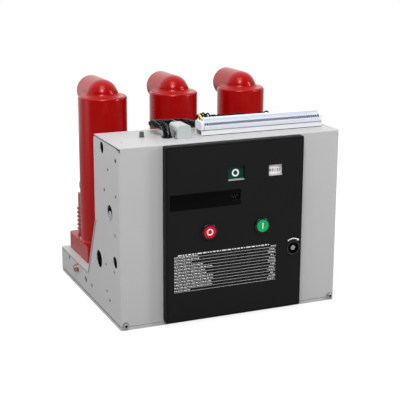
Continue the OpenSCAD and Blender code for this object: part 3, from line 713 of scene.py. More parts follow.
@dataclass(frozen=True)
class Fastener:
    """A fastener along +Z whose seat is at height 0; its size is the radius of its head."""

    kind: Fixing
    size: float
    finish: Finish

    def model(self) -> Workpiece:
        """Models one fastener of this kind."""
        makers = {
            Fixing.EARTH_BOLT: self._earth_bolt,
            Fixing.SOCKET_BOLT: self._socket_bolt,
            Fixing.STUD: self._stud,
            Fixing.PAN_SCREW: self._pan_screw,
            Fixing.RIVET: self._rivet,
            Fixing.OPEN_HOLE: self._open_hole,
            Fixing.CLAMP_SCREW: self._clamp_screw,
        }
        return makers[self.kind]()

    def _stack(self, name: str, layers: Sequence[tuple[float, float, float, int]]) -> list[Workpiece]:
        """Stacks softened discs.

        Args:
            name: Name of the discs.
            layers: Radius, foot, height and sides of each, in heads.

        Returns:
            The painted discs.
        """
        discs, d = [], self.size
        for radius, foot, height, sides in layers:
            disc = Workpiece.rod(name, radius * d, height * d, sides, (0, 0, foot * d))
            discs.append(disc.soften(min(0.05, 0.2 * height) * d, 2, 25.0).paint(self.finish))
        return discs

    def _bored(self, name: str, layer: tuple[float, float, int], steps: Sequence[float]) -> Workpiece:
        """Makes a head with a rounded top and a hole whose floor is painted dark as its shade.

        Args:
            name: Name of the head.
            layer: Foot, height and sides, the first two in heads.
            steps: Width and rise of the rounding, width of the rim and depth of the hole, in heads.

        Returns:
            The painted head.
        """
        foot, height, sides = layer
        width, rise, rim, depth = (step * self.size for step in steps)
        head = Workpiece.rod(name, self.size, height * self.size, sides, (0, 0, foot * self.size))
        head.paint(self.finish).top().inset(width, rise).inset(rim)
        return head.push((0, 0, -depth)).paint_picked(SHADOW)

    def _earth_bolt(self) -> Workpiece:
        """Washer, spring washer, nut and thread outside, and a six-sided head inside the sheet."""
        layers = [(1.0, 0.0, 0.13, 36), (0.74, 0.13, 0.13, 28), (0.88, 0.26, 0.42, 6)]
        layers += [(0.48, 0.68 + 0.045 * k, 0.04, 24) for k in range(4)]
        layers += [(0.5, -0.25, 0.3, 24), (0.96, -0.97, 0.78, 6), (0.48, -1.28, 0.4, 24)]
        return Workpiece.joined(self._stack("earth_bolt", layers), "earth_bolt").smooth(30.0)

    def _socket_bolt(self) -> Workpiece:
        """Washer and a round head with a socket."""
        washer = self._stack("washer", [(1.55, 0.0, 0.24, 36)])
        head = self._bored("head", (0.24, 0.75, 30), (0.14, 0.08, 0.3, 0.5))
        head.soften(0.05 * self.size, 2, 30.0)
        return Workpiece.joined([*washer, head], "socket_bolt").smooth(35.0)

    def _stud(self) -> Workpiece:
        """Short six-sided pillar on a washer, with a tapped hole in its top."""
        washer = self._stack("washer", [(1.2, 0.0, 0.14, 30)])
        pillar = self._bored("pillar", (0.14, 2.1, 6), (0.12, 0.06, 0.3, 0.8))
        pillar.soften(0.05 * self.size, 2, 30.0)
        return Workpiece.joined([*washer, pillar], "stud").smooth(30.0)

    def _pan_screw(self) -> Workpiece:
        """Domed head with a socket."""
        head = self._bored("pan_screw", (0.0, 0.55, 28), (0.16, 0.12, 0.3, 0.35))
        return head.soften(0.06 * self.size, 2, 30.0).smooth(40.0)

    def _rivet(self) -> Workpiece:
        """Low domed head with a pin hole."""
        return self._bored("rivet", (0.0, 0.25, 20), (0.25, 0.2, 0.35, 0.2)).smooth(50.0)

    def _open_hole(self) -> Workpiece:
        """Pierced hole, drawn as a thin burr round a sunk disc painted dark as the hole's shade."""
        burr, rise, drop = 0.06 * self.size, 0.12 * MM, 0.08 * MM
        rim = Workpiece.rod("open_hole", self.size + burr, rise, 24).paint(self.finish)
        rim.top().inset(burr).push((0, 0, -drop)).paint_picked(SHADOW)
        return rim.smooth(30.0)

    def _clamp_screw(self) -> Workpiece:
        """Small slotted clamp screw."""
        d = self.size
        head = Workpiece.rod("clamp_screw", d, 0.7 * d, 12).paint(self.finish)
        slot = Workpiece.block("slot", (-2 * d, -0.2 * d, 0.4 * d), (2 * d, 0.2 * d, 2 * d))
        return head.cut(slot).smooth(30.0)


def dress_nodes(finish: Finish, *nodes: str) -> None:
    """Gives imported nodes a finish.

    Args:
        finish: The finish.
        nodes: Names of the nodes.
    """
    for node in nodes:
        mesh = bpy.data.objects[node].data
        mesh.materials.clear()
        mesh.materials.append(finish.material())
        LOG.info("%s finished as %s", node, finish.name)


@dataclass
class Cabinet:
    """Folded sheet-metal box with its feet, shelf and the parts seen through its holes."""

    # Pierced holes of each side plate: depth from the front, height, radius
    holes: tuple[Point, ...] = (
        (24, 434, 5.4), (84, 399, 3.7), (114, 340, 4.2), (26, 343, 3.7), (110, 144, 3.3),
        (47, 142, 3.7), (236, 45, 4.6), (106, 73, 3.5), (84, 54, 4.3),
    )
    side_screw: Point = (35, 244, 4.6)
    # Rear edge of a side plate: depth from the front and height of each corner
    hem: tuple[tuple[float, float], ...] = ((192, 459), (192, 242), (268, 74))
    hem_radius: float = 1.9 * MM
    fold_radius: float = 1.5 * MM
    fold_inset: float = 5.0 * MM
    tray_lip: float = 10 * MM
    # How far each joint's strip of painted shade lies in the sheet, stands out of it and stops short of
    # its ends
    seam_sink: float = 0.3 * MM
    seam_proud: float = 0.15 * MM
    seam_short: float = 4 * MM
    corner_bolt: float = 6.0 * MM
    corner_inset: float = 12 * MM
    corner_rise: float = 12.5 * MM
    stud: float = 6.0 * MM
    rivet: float = 2.4 * MM
    # Stud and rivets of the top cover: distances from its left and front edges
    stud_spot: tuple[float, float] = (98.5, 105.5)
    rivets: tuple[tuple[float, float], ...] = ((28, 57), (400, 33))
    rear_screw: float = 4.5 * MM
    rear_inset: float = 14 * MM
    rear_heights: tuple[float, ...] = (262, 322, 382, 440)

    def build(self) -> None:
        """Dresses the sheets and adds the fasteners."""
        sheets = ("left_side_plate", "right_side_plate", "left_foot_plate", "right_foot_plate")
        dress_nodes(COAT, "base_tray", *sheets, "top_cover", "rear_wall", "pole_shelf", "rear_skirt")
        dress_nodes(ZINC, "left_mechanism_plate", "right_mechanism_plate")
        dress_nodes(STEEL, "main_shaft", "shaft_collars")
        self.side_details()
        self.side_hems()
        self.plate_seam_shade()
        self.earth_bolts()
        self.corner_bolts()
        self.cover_fittings()
        self.rear_screws()

    def side_details(self) -> None:
        """Pierced holes and one screw on each side plate."""
        for node, way in SIDES:
            x, front = outer_x(node, way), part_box(node)[0].y
            marks = []
            for depth, height, radius in self.holes:
                hole = Fastener(Fixing.OPEN_HOLE, radius * MM, COAT).model()
                marks.append(hole.move(facing((x, front + depth * MM, height * MM), (way, 0, 0))))
            Workpiece.joined(marks, f"{node}_holes").mount()
            depth, height, radius = self.side_screw
            screw = Fastener(Fixing.PAN_SCREW, radius * MM, ZINC).model()
            place = facing((x, front + depth * MM, height * MM), (way, 0, 0))
            screw.repeat([place], f"{node}_screw").mount()

    def side_hems(self) -> None:
        """Rolled hem along the rear edge of each side plate, with painted shade along the fold inside
        its slope.
        """
        for node, way in SIDES:
            x, front = outer_x(node, way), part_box(node)[0].y
            corners = [Vector((x, front + depth * MM, height * MM)) for depth, height in self.hem]
            fold = [corner - Vector((0, self.fold_inset, 0)) for corner in corners[1:]]
            bead = Workpiece.tube("bead", corners, self.hem_radius).paint(COAT)
            # The crease is painted shade: the grey coat made darker along the fold
            crease = Workpiece.tube("crease", fold, self.fold_radius).paint(FOLD_SHADE_COAT)
            hem = Workpiece.joined([bead, crease], f"{node}_hem")
            hem.flatten((x, 0, 0), (0.5, 1, 1)).smooth(60.0).mount()

    def plate_seam_shade(self) -> None:
        """Painted shade along the joints of each side with the base tray's lip, the cover and the
        shelf.
        """
        cover_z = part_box("left_side_plate")[1].z - 0.45 * MM
        foot_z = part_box("left_foot_plate")[1].z - 0.5 * MM
        joints = (
            ("tray_seam_shade", "base_tray", 0.6 * MM, self.tray_lip),
            ("cover_seam_shade", "top_cover", 0.9 * MM, cover_z),
            ("foot_seam_shade", "left_foot_plate", 0.5 * MM, foot_z),
        )
        for name, node, half, z in joints:
            low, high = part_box(node)
            front, back = low.y + self.seam_short, high.y - self.seam_short
            seams = []
            for plate, way in SIDES:
                x = outer_x(plate, way)
                left, right = sorted((x - way * self.seam_sink, x + way * self.seam_proud))
                seam = Workpiece.block("seam", (left, front, z - half), (right, back, z + half))
                seams.append(seam.soften(0.05 * MM, 1).paint(SHADOW))
            Workpiece.joined(seams, name).mount()

    def earth_bolts(self) -> None:
        """Earthing bolt on each foot plate."""
        low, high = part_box("earth_bolts")
        y, z = (low.y + high.y) / 2, (low.z + high.z) / 2
        feet = (("left_foot_plate", -1.0), ("right_foot_plate", 1.0))
        places = [facing((outer_x(foot, way), y, z), (way, 0, 0)) for foot, way in feet]
        bolt = Fastener(Fixing.EARTH_BOLT, (high.y - low.y) / 2, YELLOW_ZINC).model()
        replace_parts(bolt.repeat(places, "earthing_bolts").mount(), "earth_bolts")

    def corner_bolts(self) -> None:
        """Plated bolts at the front's lower corners."""
        low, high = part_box("base_tray")
        across = (low.x + self.corner_inset, high.x - self.corner_inset)
        places = [facing((x, low.y, self.corner_rise), FRONT) for x in across]
        bolt = Fastener(Fixing.SOCKET_BOLT, self.corner_bolt, PINK_ZINC).model()
        bolt.repeat(places, "corner_bolts").mount()

    def cover_fittings(self) -> None:
        """Stud beside the plug and rivets on the top cover."""
        low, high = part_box("top_cover")
        groups = (
            ("cover_stud", Fastener(Fixing.STUD, self.stud, DARK_STEEL), (self.stud_spot,)),
            ("cover_rivets", Fastener(Fixing.RIVET, self.rivet, ZINC), self.rivets),
        )
        for name, fastener, spots in groups:
            places = [facing((low.x + x * MM, low.y + y * MM, high.z), UP) for x, y in spots]
            fastener.model().repeat(places, name).mount()

    def rear_screws(self) -> None:
        """Screws along the upright edges of the rear wall."""
        low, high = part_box("rear_wall")
        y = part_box("top_cover")[1].y
        across = (low.x + self.rear_inset, high.x - self.rear_inset)
        places = [facing((x, y, z * MM), BACK) for x in across for z in self.rear_heights]
        screw = Fastener(Fixing.PAN_SCREW, self.rear_screw, ZINC).model()
        screw.repeat(places, "rear_screws").mount()


@dataclass
class ControlPanel:
    """Black moulded panel with its windows, buttons and charging point."""

    # Radius, half line and flattening of the white rings, and the closing button's bar
    flag_ring: Point = (7.8 * MM, 2.1 * MM, 0.12)
    button_ring: Point = (7.4 * MM, 1.7 * MM, 0.14)
    bar_low: Point = (-1.2 * MM, -8.5 * MM, -0.2 * MM)
    bar_high: Point = (1.2 * MM, 8.5 * MM, 0.25 * MM)
    mark_sink: float = 0.45 * MM
    # Distances of the groove's edges from the panel's outline
    groove_near: float = 3.0 * MM
    groove_far: float = 5.0 * MM
    rim_inset: float = 2.2 * MM
    rim_line: float = 1.7 * MM
    tip_radius: float = 6.8 * MM
    tip_rise: float = 0.3 * MM
    # Turning arrow: radius, half line, size of its tip, and its angles in degrees
    arrow_reach: float = 25 * MM
    arrow_line: float = 1.3 * MM
    arrow_tip: float = 3.8 * MM
    arrow_start: float = 54.0
    arrow_step: float = 3.2
    arrow_knots: int = 24
    counter_text: str = "0 0 1 2 7"
    wheel_radius: float = 5.5 * MM
    wheel_width: float = 5.4 * MM
    wheel_pitch: float = 6 * MM
    digit_height: float = 8.6 * MM
    digit_line: float = 0.3 * MM
    digit_out: float = 1.45 * MM
    spring_line: float = 0.6 * MM
    spring_turns: int = 5
    sill_rises: tuple[tuple[str, float], ...] = (("indicator_flag", 2.9), ("operation_counter", 2.2))
    band_low: Point = (-180.7, 0, 303.8)
    band_high: Point = (12.7, 0, 344.2)
    band_gap: float = 0.6 * MM
    # Data table, with the indents of its title and the sizes of its print
    table_low: Point = (-169, 0, 90)
    table_high: Point = (116, 0, 187)
    title_indents: tuple[float, float] = (10 * MM, 20 * MM)
    title_tall: float = 2.9 * MM
    text_tall: float = 1.9 * MM
    rule_tall: float = 0.5 * MM
    dash_gap: float = 1.1
    # Lengths of the printed bars in bar heights, and how far each row's name reaches in millimetres
    bar_lengths: tuple[float, ...] = (1.6, 3.4, 0.9, 2.5, 1.2, 4.2, 2.0)
    row_reach: tuple[float, ...] = (70, 68, 52, 78, 104, 84, 92, 108, 110, 108, 106, 44)

    def __post_init__(self) -> None:
        """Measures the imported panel."""
        self.face_y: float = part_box("front_panel")[0].y

    def build(self) -> None:
        """Dresses the panel's nodes and adds its marks."""
        dress_nodes(PANEL, "front_panel")
        dress_nodes(FLAG, "indicator_flag")
        dress_nodes(FACE, "operation_counter")
        dress_nodes(STRIP, "spring_flag")
        dress_nodes(BEZEL, "open_button_bezel", "close_button_bezel", "charging_socket")
        dress_nodes(RED_CAP, "open_button")
        dress_nodes(GREEN_CAP, "close_button")
        dress_nodes(BLACK_STEEL, "charging_shaft")
        self.flag_mark()
        self.button_marks()
        self.panel_groove()
        self.bezel_rims()
        self.charging_tip()
        self.turn_arrow()
        self.counter_face()
        self.spring_symbol()
        self.window_sills()
        self.band_strip()
        self.data_table()

    def flag_mark(self) -> None:
        """White ring on the position flag."""
        ring = Workpiece.ring("flag_mark", *self.flag_ring).paint(INK)
        ring.move(facing(front_of("indicator_flag"), FRONT)).smooth().mount()

    def button_marks(self) -> None:
        """White ring on the opening button and white bar on the closing button."""
        ring = Workpiece.ring("open_mark", *self.button_ring)
        bar = Workpiece.block("close_mark", self.bar_low, self.bar_high).soften(0.5 * MM, 2)
        for mark, body in ((ring, "open_button"), (bar, "close_button")):
            at = front_of(body) + Vector((0, self.mark_sink, 0))
            mark.paint(INK).move(facing(at, FRONT)).smooth().mount(body)

    def panel_groove(self) -> None:
        """Groove round the panel's face, just inside its rounded edge, painted dark as its shade."""
        low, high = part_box("front_panel")
        y = self.face_y

        def slab(name: str, edge: float, front: float, back: float) -> Workpiece:
            """Starts a slab at a distance from the panel's outline."""
            first = (low.x + edge, y + front, low.z + edge)
            return Workpiece.block(name, first, (high.x - edge, y + back, high.z - edge))

        groove = slab("panel_groove", self.groove_near, -0.02 * MM, 1 * MM)
        groove.cut(slab("middle", self.groove_far, -1.0, 1.0))
        groove.soften(0.3 * MM, 1).paint(SHADOW).mount()

    def bezel_rims(self) -> None:
        """Rounded rim on the bezel of each button."""
        for node in ("open_button_bezel", "close_button_bezel"):
            low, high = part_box(node)
            radius = (high.x - low.x) / 2 - self.rim_inset
            rim = Workpiece.ring(f"{node}_rim", radius, self.rim_line, 0.8, 56).paint(BEZEL)
            rim.move(facing(front_of(node), FRONT)).smooth(60.0).mount()

    def charging_tip(self) -> None:
        """Bright end of the charging shaft with a sunk centre painted dark as its shade."""
        tip = Workpiece.rod("charging_tip", self.tip_radius, self.tip_rise, 6).paint(ZINC)
        tip.top().inset(0.8 * MM, 0.1 * MM).inset(4.2 * MM).push((0, 0, -self.tip_rise))
        tip.paint_picked(SHADOW)
        place = facing(front_of("charging_shaft"), FRONT)
        tip.move(place @ Matrix.Rotation(math.pi / 6, 4, "Z")).smooth(20.0).mount("charging_shaft")

    def turn_arrow(self) -> None:
        """White turning arrow over the charging point."""
        angles = [math.radians(self.arrow_start + self.arrow_step * k) for k in range(self.arrow_knots)]
        arc = [self.arrow_reach * Vector((math.cos(a), math.sin(a), 0)) for a in angles]
        band = Workpiece.tube("turn_arrow_band", arc, self.arrow_line).flatten((0, 0, 0), (1, 1, 0.15))
        tip = Workpiece.rod("turn_arrow_tip", self.arrow_tip, 0.4 * MM, 3)
        back = math.radians(self.arrow_start + 180)
        tip.move(Matrix.Translation(arc[0]) @ Matrix.Rotation(back, 4, "Z"))
        at = front_of("charging_socket")
        at.y = self.face_y
        arrow = Workpiece.joined([band, tip], "turn_arrow").paint(INK)
        arrow.move(facing(at, FRONT)).smooth().mount()

    def counter_face(self) -> None:
        """Digit wheels of the operation counter."""
        centre = front_of("operation_counter")
        wheel = Workpiece.rod("counter_wheel", self.wheel_radius, self.wheel_width, 20)
        wheel.soften(0.4 * MM, 1).paint(FACE)
        wheel.move(Matrix.Translation((0, 0, -self.wheel_width / 2)))
        lying = Matrix.Diagonal((1, 0.25, 1, 1)) @ Matrix.Rotation(math.pi / 2, 4, "Y")
        steps = [Vector((k * self.wheel_pitch, 0, 0)) for k in range(-2, 3)]
        places = [Matrix.Translation(centre + step) @ lying for step in steps]
        wheel.repeat(places, "counter_wheels").smooth().mount()
        digits = Workpiece.lettering(
            "counter_digits", self.counter_text, self.digit_height, self.digit_line, self.digit_line
        )
        at = centre - Vector((0, self.digit_out, 0))
        digits.paint(DIGIT).move(facing(at, FRONT)).mount()

    def spring_symbol(self) -> None:
        """Zigzag of the spring state on its flag."""
        low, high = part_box("spring_flag")
        y, mid = low.y, (low.z + high.z) / 2
        step, rise = (high.x - low.x) / 8, (high.z - low.z) * 0.3
        line = [Vector((low.x + step, y, mid))]
        for k in range(self.spring_turns):
            line.append(Vector((low.x + step * (k + 1.5), y, mid + rise * (-1) ** k)))
        line.append(Vector((high.x - step, y, mid)))
        zigzag = Workpiece.tube("spring_symbol", line, self.spring_line).paint(DIM_INK)
        zigzag.flatten((0, y, 0), (1, 0.3, 1)).mount()

    def window_sills(self) -> None:
        """Pale sloping sills at the foot of the flag and counter windows."""
        sills = []
        for node, rise in self.sill_rises:
            low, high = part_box(node)
            first = (low.x, self.face_y + 0.5 * MM, low.z)
            sill = Workpiece.block(f"{node}_sill", first, (high.x, low.y, low.z + rise * MM))
            sill.faces(lambda centre, normal: normal.y < -0.9)
            foot = ((low.x + high.x) / 2, self.face_y, low.z)
            bpy.ops.transform.resize(value=(1, 1, 0.25), center_override=foot)
            sills.append(sill.soften(0.3 * MM, 2, 20.0).paint(SILL))
        Workpiece.joined(sills, "window_sills").smooth(30.0).mount()

    def band_strip(self) -> None:
        """Smoked dark strip in the shallow band, open at the spring window."""
        low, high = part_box("spring_flag")
        start, end = Vector(self.band_low) * MM, Vector(self.band_high) * MM
        y, gap = self.face_y, self.band_gap
        first, last = (start.x, y + 0.3 * MM, start.z), (end.x, y + 0.95 * MM, end.z)
        strip = Workpiece.block("band_strip", first, last)
        first, last = (low.x - gap, y - 1, low.z - gap), (high.x + gap, y + 1, high.z + gap)
        strip.cut(Workpiece.block("window", first, last))
        strip.soften(0.25 * MM, 2).paint(STRIP).smooth(30.0).mount()

    def bar(self, left: float, right: float, height: float, tall: float) -> Matrix:
        """Place and size of a printed bar, for a bar of unit size."""
        size = Matrix.Diagonal((right - left, tall, 0.12 * MM, 1))
        return facing(((left + right) / 2, self.face_y, height), FRONT) @ size

    def dashes(self, left: float, right: float, height: float, tall: float, turn: int) -> list[Matrix]:
        """Breaks a line into short bars.

        Args:
            left: X of the line's start.
            right: X of the line's end.
            height: Height of the line's middle.
            tall: Height of its bars.
            turn: Which length comes first.

        Returns:
            The bars' places.
        """
        places, x = [], left
        while True:
            long = self.bar_lengths[turn % len(self.bar_lengths)] * tall
            if x + long > right:
                return places
            places.append(self.bar(x, x + long, height, tall))
            x += long + self.dash_gap * tall
            turn += 3

    def data_table(self) -> None:
        """Blank data table: ruled rows, each with a dashed name and a short dashed value."""
        low, high = Vector(self.table_low) * MM, Vector(self.table_high) * MM
        step = (high.z - low.z) / len(self.row_reach)
        left, right = self.title_indents
        places = self.dashes(low.x + left, high.x - right, high.z, self.title_tall, 1)
        for row, reach in enumerate(self.row_reach):
            rule_z = high.z - (row + 1) * step
            text_z = rule_z + 0.45 * step
            value_x = high.x - (15 + 4 * (row % 3)) * MM
            places.append(self.bar(low.x, high.x, rule_z, self.rule_tall))
            places += self.dashes(low.x, low.x + reach * MM, text_z, self.text_tall, row)
            places += self.dashes(value_x, high.x, text_z, self.text_tall, row + 3)
        mark = Workpiece.block("mark", (-0.5, -0.5, 0.0), (0.5, 0.5, 1.0)).paint(INK)
        mark.top().inset(0.06)
        mark.repeat(places, "data_table").mount()


@dataclass
class Poles:
    """Three cast resin poles with their contact faces."""

    places: tuple[str, ...] = ("left", "middle", "right")

    def build(self) -> None:
        """Dresses the castings and contacts."""
        for place in self.places:
            dress_nodes(RESIN, f"pole_{place}")
            dress_nodes(COPPER, f"upper_terminal_{place}", f"lower_terminal_{place}")


@dataclass
class TerminalRow:
    """Stacked terminals on their channel, with markers, clamp screws and wires."""

    pitch: float = 6.5 * MM
    clamp_screw: float = 1.6 * MM
    # Wells of a terminal as shares of the row's depth
    wells: tuple[float, float] = (0.15, 0.85)
    # Half width, height and thickness of a clamp's mouth
    cage: Point = (2.45 * MM, 4.4 * MM, 0.5 * MM)
    # Depth and rise of the sloping front as shares of the row, and the mouths' place on the slope
    slope_y: float = 0.2
    slope_z: float = 0.35
    cage_share: float = 0.47
    strip: float = 1.3 * MM
    tag: float = 1.0 * MM
    # Terminals whose wires are seen over the row
    picks: tuple[int, ...] = (0, 1, 2, 3, 4, 6, 7, 9, 11, 14, 17, 19, 27, 30)
    wire: float = 2.1 * MM
    earth_wire: float = 2.8 * MM

    def __post_init__(self) -> None:
        """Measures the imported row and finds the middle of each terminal."""
        self.low, self.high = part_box("terminal_blocks")
        self.size: Vector = self.high - self.low
        count = round(self.size.x / self.pitch)
        self.middles: list[float] = [self.low.x + (k + 0.5) * self.pitch for k in range(count)]

    def build(self) -> None:
        """Dresses the row and adds its small parts."""
        plastic = TerminalPlastic(
            "terminal_pale", (0.68, 0.72, 0.82), "white_plastic", 0.45, self.low.x, self.pitch
        )
        dress_nodes(plastic, "terminal_blocks")
        dress_nodes(RAIL, "terminal_rail")
        dress_nodes(MARKER, "end_stops")
        self.clamp_screws()
        self.clamp_cages()
        self.seams()
        self.markers()
        self.wires()

    def clamp_screws(self) -> None:
        """A slotted screw at the bottom of every well."""
        z = self.low.z + 0.2 * self.size.z
        depths = [self.low.y + share * self.size.y for share in self.wells]
        screw = Fastener(Fixing.CLAMP_SCREW, self.clamp_screw, DARK_STEEL).model()
        places = [Matrix.Translation((x, y, z)) for x in self.middles for y in depths]
        screw.repeat(places, "clamp_screws").mount()

    def clamp_cages(self) -> None:
        """Mouths of the clamps on the sloping front of every terminal, painted dark as the shade inside
        them.
        """
        foot = Vector((0, self.low.y, self.low.z + self.slope_z * self.size.z))
        rise = Vector((0, self.slope_y * self.size.y, self.slope_z * self.size.z))
        out = Vector((0, -rise.z, rise.y)).normalized()
        cage = Workpiece.block("cage", tuple(-half for half in self.cage), self.cage).paint(MARKER)
        cage.top().inset(0.25 * MM).push((0, 0, -0.3 * MM)).paint_picked(SHADOW)
        at = foot + self.cage_share * rise
        places = [facing((x, at.y, at.z), out) for x in self.middles]
        cage.repeat(places, "clamp_cages").mount()

    def seams(self) -> None:
        """Strips painted dark as the shade under the terminals and under their channel."""
        low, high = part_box("terminal_rail")
        strips = []
        for name, out, z in (("upper", 1.2 * MM, high.z - self.strip), ("lower", 0.8 * MM, low.z)):
            first, last = (low.x, low.y - out, z), (high.x, low.y, z + self.strip)
            strips.append(Workpiece.block(name, first, last).soften(0.3 * MM, 2).paint(SHADOW))
        Workpiece.joined(strips, "row_seam_shade").smooth(30.0).mount()

    def markers(self) -> None:
        """Marker tags along the ridge."""
        half_w, half_d = 0.42 * self.pitch, 0.17 * self.size.y
        tag = Workpiece.block("tag", (-half_w, -half_d, 0), (half_w, half_d, self.tag))
        tag.top().inset(0.5 * MM, -0.25 * MM)
        tag.soften(0.2 * MM, 1).paint(MARKER)
        y = (self.low.y + self.high.y) / 2
        places = [Matrix.Translation((x, y, self.high.z)) for x in self.middles]
        tag.repeat(places, "marker_tags").mount()

    def wires(self) -> None:
        """Wires that rise from the loom and drop into the rear wells, and the earth wire at the end."""
        loom = Vector((0, self.high.y + 11 * MM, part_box("top_cover")[1].z + 16 * MM))
        well = Vector((0, self.low.y + self.wells[1] * self.size.y, self.high.z))
        made = []
        for turn, index in enumerate(self.picks):
            lean = (-1) ** turn * 3
            rise = 4.5 + 2.0 * (turn % 3) if turn < 5 else 0.9
            loom.x = well.x = self.middles[index]
            start = [(lean - 14, 0, 0), (lean - 9, -1, 13)]
            end = [(-4, 9, 0.8 * rise), (0, 3, rise), (1, 0, -3), (0, 0, -15)]
            route = smooth_path(offsets(loom, start) + offsets(well, end), 6)
            made.append(Workpiece.tube("wire", route, self.wire, 2).paint(LOOM))
        Workpiece.joined(made, "row_wires").smooth(60.0).mount()
        loom.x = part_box("end_stops")[0].x
        over = Vector((loom.x, (self.low.y + self.high.y) / 2, self.high.z))
        start = [(22, 3, 0), (18, -1, 14)]
        end = [(12, 22, 3), (9, 13, 6), (9, 4, 3), (11, -1, -4)]
        route = smooth_path(offsets(loom, start) + offsets(over, end), 6)
        Workpiece.tube("earth_wire", route, self.earth_wire, 3).paint(EARTH).smooth(60.0).mount()


@dataclass
class PlugAndLoom:
    """Plug connector and the bundle of wires beside it."""

    # The loom's route, from the frame's centre, front plane and cover, in millimetres
    route: tuple[Point, ...] = (
        (-149, 76, -10), (-149, 76, 3), (-149, 78, 11.5), (-150, 83, 18.5), (-152, 91, 23.5),
        (-155.5, 101, 27), (-159.5, 112, 28.5), (-163, 123, 28), (-164, 135, 26), (-161, 148, 23),
        (-152, 161, 20.5), (-138, 169.5, 18.5), (-122, 173, 17.5), (-105, 171, 18), (-88, 163, 18.5),
        (-73, 151.5, 19), (-58, 138.5, 18.5), (-43, 127, 16.5), (-26, 118.5, 13.5), (-8, 115, 11.3),
        (12, 114, 10.3), (36, 114, 10.3), (62, 114, 10.3), (90, 114, 10.3),
    )
    diameter: float = 20 * MM
    core: float = 6.5 * MM
    strand: float = 2.6 * MM
    strands: int = 9
    # Distance of the strands from the middle, how far they stray from it, and their twist per metre
    lane: float = 7.2 * MM
    stray: float = 1.4 * MM
    twist: float = 2 * math.pi / 0.19
    # Ties: radius, half line and stretch, and their places as shares of the route
    tie: Point = (9.6 * MM, 0.9 * MM, 2.2)
    ties: tuple[float, ...] = (0.2, 0.36, 0.52, 0.68, 0.84)

    def build(self) -> None:
        """Dresses the plug and builds the loom."""
        dress_nodes(HOOD, "connector_base", "connector_hood")
        dress_nodes(ZINC, "connector_latch")
        dress_nodes(BEZEL, "loom_grommet")
        self.bundle()

    def line(self) -> list[Vector]:
        """The loom's centre line in the part's frame."""
        low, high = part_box("top_cover")
        return smooth_path(offsets(Vector((0, low.y, high.z)), self.route), 5)

    def bundle(self) -> None:
        """Twisted strands round the loom's centre line, with ties."""
        line = self.line()
        run, side, paths = 0.0, Vector((1, 0, 0)), [[] for _ in range(self.strands)]
        for i, at in enumerate(line):
            way = (line[min(i + 1, len(line) - 1)] - line[max(i - 1, 0)]).normalized()
            side = (side - way * side.dot(way)).normalized()
            over = way.cross(side)
            if i:
                run += (at - line[i - 1]).length
            for k, path in enumerate(paths):
                a = k * 2 * math.pi / self.strands + run * self.twist
                spread = self.lane + self.stray * math.sin(a * 3 + run * 90)
                path.append(at + spread * (math.cos(a) * side + math.sin(a) * over))
        pieces = [
            Workpiece.tube("strand", path, self.strand, 2).paint(SHEEN if k % 3 == 0 else LOOM)
            for k, path in enumerate(paths)
        ]
        pieces.append(Workpiece.tube("core", line, self.core, 4).paint(LOOM))
        loom = Workpiece.joined(pieces, "loom_bundle").smooth(60.0).mount()
        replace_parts(loom, "wiring_loom")
        ties = []
        for i in (int(share * (len(line) - 1)) for share in self.ties):
            tie = Workpiece.ring("tie", *self.tie, 28).paint(LOOM)
            ties.append(tie.move(facing(line[i], line[i + 1] - line[i - 1])))
        straps = Workpiece.joined(ties, "loom_ties").smooth(60.0).mount()


@dataclass(frozen=True)
class Lamp:
    """Square soft light: where it hangs, what it looks at, the length of its side and its watts."""

    name: str
    at: Point
    aim: Point
    size: float
    power: float

    def hang(self) -> None:
        """Adds the light."""
        Workpiece.clear()
        bpy.ops.object.light_add(type="AREA", location=self.at)
        lamp = bpy.context.object
        lamp.name = self.name
        lamp.data.shape = "SQUARE"
        lamp.data.size = self.size
        lamp.data.energy = self.power
        lamp.rotation_euler = (Vector(self.aim) - Vector(self.at)).to_track_quat("-Z", "Y").to_euler()


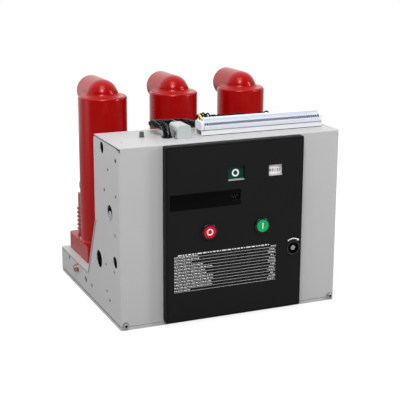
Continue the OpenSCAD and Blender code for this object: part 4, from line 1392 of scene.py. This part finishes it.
@dataclass
class Studio:
    """Camera, floor and soft light."""

    # The eye's place from the frame's centre, its front plane and the floor
    eye: Point = (-1.13479, -2.42320, 1.03025)
    yaw: float = 23.3085
    pitch: float = 15.0642
    roll: float = 0.2623
    lens: float = 97.89
    lamps: tuple[Lamp, ...] = (
        Lamp("top_light", (-0.5, -0.95, 2.7), (0.0, 0.0, 0.4), 1.2, 22.0),
        Lamp("right_light", (2.1, -1.4, 1.25), (0.1, -0.1, 0.4), 0.5, 25.0),
        Lamp("left_light", (-2.5, 0.4, 0.4), (-0.3, 0.0, 0.15), 1.0, 4.5),
        Lamp("front_light", (-0.9, -1.85, 2.4), (0.0, -0.2, 0.5), 0.7, 38.0),
    )
    floor_radius: float = 2.2
    floor_colour: Colour = (0.42, 0.42, 0.42)
    floor_glow: float = 1.16

    def build(self) -> None:
        """Sets the camera, the floor and the light."""
        self.camera()
        self.floor()
        self.world()
        for lamp in self.lamps:
            lamp.hang()

    def camera(self) -> None:
        """Camera at the photograph's viewing angle."""
        yaw, pitch, roll = (math.radians(a) for a in (self.yaw, self.pitch, self.roll))
        level = Vector((math.cos(yaw), -math.sin(yaw), 0.0))
        flat = Vector((math.sin(yaw), math.cos(yaw), 0.0))
        ahead = flat * math.cos(pitch) - Vector((0, 0, math.sin(pitch)))
        over = level.cross(ahead)
        right = level * math.cos(roll) + over * math.sin(roll)
        up = over * math.cos(roll) - level * math.sin(roll)
        bpy.ops.object.camera_add()
        eye = bpy.context.object
        eye.name = "photo_camera"
        eye.data.lens = self.lens
        eye.data.sensor_width = 36.0
        place = Vector(self.eye) + Vector((0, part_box("left_side_plate")[0].y, 0))
        eye.matrix_world = Matrix.Translation(place) @ Matrix((right, up, -ahead)).transposed().to_4x4()
        bpy.context.scene.camera = eye

    def floor(self) -> None:
        """Pale floor that keeps the shadow and reads as white."""
        Workpiece.clear()
        bpy.ops.mesh.primitive_circle_add(vertices=96, radius=self.floor_radius, fill_type="NGON")
        disc = bpy.context.object
        disc.name = "floor"
        board = Board(bpy.data.materials.new("floor_pale"))
        x, y, _ = board.split(board.place())
        share = board.ramp((x * x + y * y) ** 0.5, 0.4, 1.4, 0.78, 1.0)
        matt = board.node("ShaderNodeBsdfDiffuse", None, {"Color": (*self.floor_colour, 1)})
        light = {"Color": (1, 1, 1, 1), "Strength": self.floor_glow}
        glow = board.node("ShaderNodeEmission", None, light)
        ray = board.node("ShaderNodeLightPath", out="Is Camera Ray")
        board.end(board.node("ShaderNodeMixShader", None, {0: ray * share, 1: matt, 2: glow}))
        disc.data.materials.append(board.owner)

    def world(self) -> None:
        """Surroundings that are white to the camera, and light the object more from behind."""
        sky = bpy.data.worlds.new("studio")
        bpy.context.scene.world = sky
        board = Board(sky)
        right, back, up = board.split(board.node("ShaderNodeTexCoord", out="Generated"))
        level = board.ramp(back * 0.85 - right * 0.14, -0.6, 0.4, 0.34, 0.9)
        mirrored = board.ramp(back * 0.8 + up * 0.6, -0.2, 0.8, 0.012, 1.1)
        seen = board.node("ShaderNodeLightPath", out="Is Camera Ray")
        glossy = board.node("ShaderNodeLightPath", out="Is Glossy Ray")
        unseen = glossy * (mirrored - level) + level
        strength = seen * (1.0 - unseen) + unseen
        glow = board.node("ShaderNodeBackground", None, {"Color": (1, 1, 1, 1), "Strength": strength})
        board.end(glow, "ShaderNodeOutputWorld")


def main() -> None:
    """Builds every sub-assembly on the frame."""
    logging.basicConfig(level=logging.INFO, format="%(name)s: %(message)s")
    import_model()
    Workpiece.clear()
    bpy.context.scene.view_settings.view_transform = "Standard"
    for assembly in (Studio(), PlugAndLoom(), Cabinet(), ControlPanel(), Poles(), TerminalRow()):
        LOG.info("building %s", type(assembly).__name__)
        assembly.build()
    Workpiece.clear()


if __name__ == "__main__":
    main()
